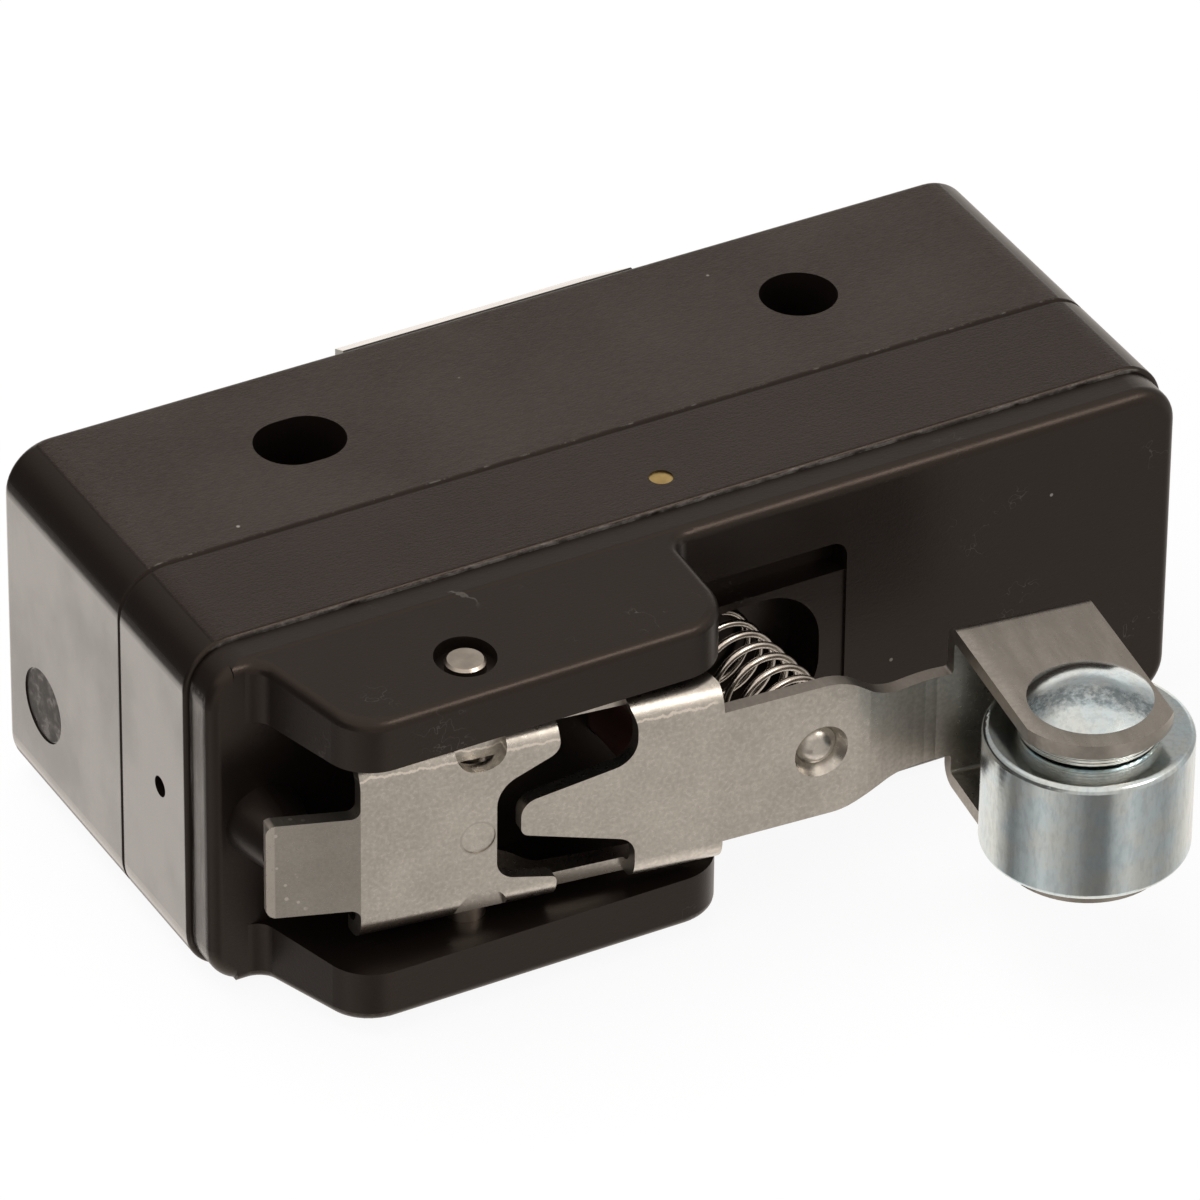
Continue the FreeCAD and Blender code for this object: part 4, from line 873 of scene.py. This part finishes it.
@dataclass(frozen=True)
class DimpleButton:
    """Low dome left in the middle of the lever's dimple, over the return spring."""

    centre: Triple = (2.18, -20.984, 8.8)
    lean: float = math.radians(-3.66)
    dome_r: float = 0.96
    floor_depth: float = 0.56
    dome_height: float = 0.47
    rings: int = 20
    spokes: int = 48

    def build(self, material: bpy.types.Material) -> bpy.types.Object:
        """Turn the dome's profile round the dimple's axis.

        The height above the dimple's floor is the dome's height times one less the cube of the
        share of its radius. A short skirt closes it below the floor.

        Args:
            material: Finish of the lever.

        Returns:
            The dome.
        """
        reach = np.linspace(0.01, self.dome_r, self.rings)
        depth = self.floor_depth - self.dome_height * (1.0 - (reach / self.dome_r) ** 3)
        reach = np.concatenate((reach, [self.dome_r]))
        depth = np.concatenate((depth, [self.floor_depth + 0.08]))
        spin = np.linspace(0.0, 2.0 * np.pi, self.spokes, endpoint=False)
        along = np.array((math.cos(self.lean), math.sin(self.lean), 0.0))
        inward = np.array((-math.sin(self.lean), math.cos(self.lean), 0.0))
        up = np.array((0.0, 0.0, 1.0))
        ring = np.cos(spin)[:, None] * along + np.sin(spin)[:, None] * up
        points = np.array(self.centre) + reach[:, None, None] * ring + depth[:, None, None] * inward
        piece = grid_mesh("lever_dimple_button", points[::-1] * MM, True, True)
        piece.data.materials.append(material)
        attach(piece, Body.LEVER.value)
        return piece


@dataclass
class Case:
    """Moulded cover and base, with the pins set in them and the plunger."""

    plastic: CasePlastic = CasePlastic()
    plunger: PlungerPlastic = PlungerPlastic()
    brass: PlainMetal = PlainMetal("brass_pin", bright=(0.72, 0.53, 0.22), dull=(0.45, 0.31, 0.12))

    def build(self) -> None:
        """Dress the mouldings and pins."""
        plastic, brass = self.plastic.material(), self.brass.material()
        for node in ("base", "cover"):
            dress(node, plastic)
        for node in ("locating_pin_upper", "locating_pin_lower"):
            dress(node, brass)
        dress("plunger", self.plunger.material())
        LOG.info("case dressed")


@dataclass
class LeverGroup:
    """Lever stamping with its dimple's dome, pivot pin, roller, washer, rivet and return coil."""

    sheet: SheetSteel = SheetSteel()
    pin: PlainMetal = PlainMetal("pin_steel_ground", bright=(0.54, 0.49, 0.43), dull=(0.36, 0.32, 0.28), rough=0.24)
    roller: PlatedSteel = PlatedSteel("roller_plated", ring_pitch=0.35, ring_depth=0.03, grain=(1.0, 1.0, 0.35))
    washer: PlatedSteel = PlatedSteel(
        "washer_plated", blue=(0.92, 0.90, 0.85), straw=(0.88, 0.83, 0.74), ring_pitch=0.16, ring_depth=1.4,
    )
    rivet: PlatedSteel = PlatedSteel("rivet_plated", rough=0.12, dark_band_y=-23.05, dark_band_slope=-0.547)
    wire: PlainMetal = PlainMetal("spring_wire", bright=(0.66, 0.61, 0.55), dull=(0.44, 0.40, 0.36), rough=0.16)
    button: DimpleButton = DimpleButton()
    spring: ReturnSpring = ReturnSpring()

    def build(self) -> None:
        """Dress the lever's parts and build its dome and coil."""
        sheet = self.sheet.material()
        dress("roller_lever", sheet)
        dress("pivot_pin", self.pin.material())
        dress("roller", self.roller.material())
        dress("roller_washer", self.washer.material())
        dress("roller_axle", self.rivet.material())
        for piece in (self.button.build(sheet), self.spring.build(self.wire.material())):
            LOG.info("%s: %d faces", piece.name, len(piece.data.polygons))


@dataclass
class TerminalGroup:
    """Terminals, screws, washers and the snap mechanism."""

    brass: PlainMetal = PlainMetal(
        "terminal_brass", bright=(0.74, 0.56, 0.26), dull=(0.50, 0.36, 0.15), stretch=(0.6, 3.0, 3.0),
    )
    copper: PlainMetal = PlainMetal(
        "blade_copper", bright=(0.72, 0.42, 0.26), dull=(0.52, 0.28, 0.16), rough=0.24, stretch=(0.5, 3.0, 3.0),
    )
    silver: PlainMetal = PlainMetal("contact_silver", bright=(0.80, 0.79, 0.76), dull=(0.62, 0.60, 0.56), rough=0.2)
    screw: PlatedSteel = PlatedSteel("screw_plated", rough=0.22)

    def build(self) -> None:
        """Dress the electrical parts."""
        brass, silver, screw = self.brass.material(), self.silver.material(), self.screw.material()
        for place in ("common", "nc", "no"):
            dress(f"terminal_{place}", brass)
            dress(f"terminal_screw_{place}", screw)
            dress(f"cup_washer_{place}", screw)
        for node in ("moving_contact", "contact_nc", "contact_no"):
            dress(node, silver)
        dress("snap_blade", self.copper.material())
        dress("blade_rivet", brass)
        LOG.info("terminals dressed")


@dataclass(frozen=True)
class Lamp:
    """One soft square lamp aimed at the case: its place and side in metres, its power in watts."""

    name: str
    place: Triple
    size: float
    power: float

    def build(self) -> None:
        """Hang the lamp, unseen in reflections."""
        data = bpy.data.lights.new(self.name, "AREA")
        data.size, data.energy = self.size, self.power
        lamp = bpy.data.objects.new(self.name, data)
        bpy.context.scene.collection.objects.link(lamp)
        aim = Vector(self.place).to_track_quat("Z", "Y").to_matrix().to_4x4()
        lamp.matrix_world = Matrix.Translation(Vector(self.place)) @ aim
        lamp.visible_glossy = False


@dataclass(frozen=True)
class Tent:
    """White tent round the object, with the cards that its metal and polished ends reflect.

    A card is an azimuth in degrees and a level. An edge is where one level goes over into the
    next, along the direction's own x, y or z.
    """

    room_light: float = 0.55
    low_cards: tuple[Point, ...] = (
        (0.0, 0.75), (26.0, 1.0), (60.0, 1.0), (106.0, 1.06), (122.0, 1.06), (136.0, 0.6), (152.0, 0.22),
        (170.0, 0.45), (192.0, 0.80), (210.0, 0.60), (226.0, 0.40), (242.0, 0.20), (260.0, 0.18),
        (274.0, 0.60), (288.0, 0.76), (300.0, 0.58), (312.0, 0.52), (333.0, 0.42), (346.0, 0.55),
        (360.0, 0.75),
    )
    level_cards: tuple[Point, ...] = (
        (0.0, 0.45), (28.0, 0.6), (44.0, 1.15), (82.0, 1.15), (98.0, 0.10), (200.0, 0.12), (230.0, 0.70),
        (340.0, 0.74), (360.0, 0.50),
    )
    table_level: float = 1.15
    gap_level: float = 0.47
    top_level: float = 1.05
    table_edge: Point = (-0.84, -0.64)
    low_edge: Point = (-0.51, -0.42)
    level_edge: Point = (0.36, 0.50)
    gap_edge: Point = (0.66, 0.90)
    front_edge: Point = (-0.3, 0.4)
    softbox_aim: Triple = (0.40, -0.57, 0.72)
    softbox_edge: Point = (0.968, 0.988)
    softbox_level: float = 6.0
    glow: Colour = (1.0, 0.93, 0.86)

    def row(self, g: Nodes, cards: tuple[Point, ...], turn: Socket) -> Socket:
        """Level of a row of cards at an azimuth.

        Args:
            g: The world's nodes.
            cards: Azimuth in degrees and level of each card.
            turn: Azimuth as a share of a full turn.

        Returns:
            The level there.
        """
        ramp = g.new("ShaderNodeValToRGB")
        ramp.color_ramp.interpolation = "EASE"
        stops = ramp.color_ramp.elements
        while len(stops) < len(cards):
            stops.new(0.5)
        for stop, (degrees, level) in zip(stops, cards):
            stop.position = degrees / 360.0
            stop.color = (level, level, level, 1.0)
        g.join(turn, ramp.inputs[0])
        return ramp.outputs[0]

    def reflected(self, g: Nodes, direction: Socket) -> Socket:
        """Level that a reflection sees in a direction.

        Args:
            g: The world's nodes.
            direction: Where the reflection looks.

        Returns:
            The level there.
        """
        x, y, z = g.split(direction)
        azimuth = g.math("DIVIDE", g.math("ARCTAN2", y, x), 2.0 * math.pi)
        turn = g.math("FRACT", g.math("ADD", azimuth, 1.0))
        behind = g.level(g.rise(z, *self.gap_edge), self.gap_level, self.top_level)
        high = g.level(g.rise(y, *self.front_edge), self.top_level, behind)
        upper = g.level(g.rise(z, *self.level_edge), self.row(g, self.level_cards, turn), high)
        lower = g.level(g.rise(z, *self.table_edge), self.table_level, self.row(g, self.low_cards, turn))
        cards = g.level(g.rise(z, *self.low_edge), lower, upper)
        nearness = g.new("ShaderNodeVectorMath")
        nearness.operation = "DOT_PRODUCT"
        g.join(direction, nearness.inputs[0])
        g.join(self.softbox_aim, nearness.inputs[1])
        return g.level(g.rise(nearness.outputs["Value"], *self.softbox_edge), cards, self.softbox_level)

    def build(self) -> None:
        """Put the tent round the object.

        The camera sees plain white. Diffuse light is an even grey. Reflections see the tent's
        cards: a row on the floor and a row at the horizon, each with a level for every azimuth, the
        bright table straight below, a dim gap above the row behind, a bright top that comes down
        in front, and one small bright softbox high in front that lights the rounded edges.
        """
        world = bpy.data.worlds.new("tent")
        bpy.context.scene.world = world
        world.use_nodes = True
        g = Nodes(world.node_tree)
        path = g.new("ShaderNodeLightPath")
        glossy = path.outputs["Is Glossy Ray"]
        cards = self.reflected(g, g.new("ShaderNodeTexCoord").outputs["Generated"])
        plain = g.math("MAXIMUM", path.outputs["Is Camera Ray"], path.outputs["Is Transmission Ray"])
        level = g.level(plain, g.level(glossy, self.room_light, cards), 1.0)
        background = g.new("ShaderNodeBackground")
        g.join(g.mix(glossy, (1.0, 1.0, 1.0), self.glow), background.inputs["Color"])
        g.join(level, background.inputs["Strength"])
        g.join(background.outputs[0], g.new("ShaderNodeOutputWorld").inputs["Surface"])


@dataclass
class Studio:
    """Camera, floor, lamps and tent."""

    camera_place: Triple = (-0.197616, -0.360965, 0.289368)
    camera_right: Triple = (0.87743856, -0.47960521, 0.00896732)
    camera_up: Triple = (0.26633012, 0.50262909, 0.82245503)
    camera_back: Triple = (-0.39896095, -0.71926549, 0.56875945)
    lens: float = 330.206
    sensor_width: float = 36.0
    clip: Point = (0.01, 10.0)
    floor_half: float = 1.5
    floor: StudioFloor = StudioFloor()
    lamps: tuple[Lamp, ...] = (
        Lamp("lamp_top", (-0.10, 0.16, 0.55), size=0.45, power=2.4),
        Lamp("lamp_left", (-0.50, -0.15, 0.30), size=0.40, power=0.9),
        Lamp("lamp_front", (0.25, -0.55, 0.30), size=0.40, power=0.7),
    )
    tent: Tent = Tent()

    def add_camera(self) -> None:
        """Place the camera at the photograph's angle and distance."""
        data = bpy.data.cameras.new("camera")
        data.sensor_width = self.sensor_width
        data.lens = self.lens
        data.clip_start, data.clip_end = self.clip
        camera = bpy.data.objects.new("camera", data)
        bpy.context.scene.collection.objects.link(camera)
        turn = Matrix((self.camera_right, self.camera_up, self.camera_back)).transposed().to_4x4()
        camera.matrix_world = Matrix.Translation(Vector(self.camera_place)) @ turn
        bpy.context.scene.camera = camera

    def add_floor(self) -> None:
        """Lay the floor under the case's lower side face."""
        side = np.array((-self.floor_half, self.floor_half))
        x, y = np.meshgrid(side, side)
        points = np.stack((x, y, np.zeros_like(x)), axis=-1)
        floor = grid_mesh("floor", points, False, False)
        floor.data.materials.append(self.floor.material())
        floor.visible_glossy = False

    def build(self) -> None:
        """Set the camera, floor, lamps, tent and view transform."""
        self.add_camera()
        self.add_floor()
        for lamp in self.lamps:
            lamp.build()
        self.tent.build()
        bpy.context.scene.view_settings.view_transform = "Standard"
        LOG.info("studio ready")


def main() -> None:
    """Build every group in order."""
    logging.basicConfig(level=logging.INFO)
    Case().build()
    LeverGroup().build()
    TerminalGroup().build()
    Studio().build()
    bpy.context.view_layer.update()


if __name__ == "__main__":
    main()
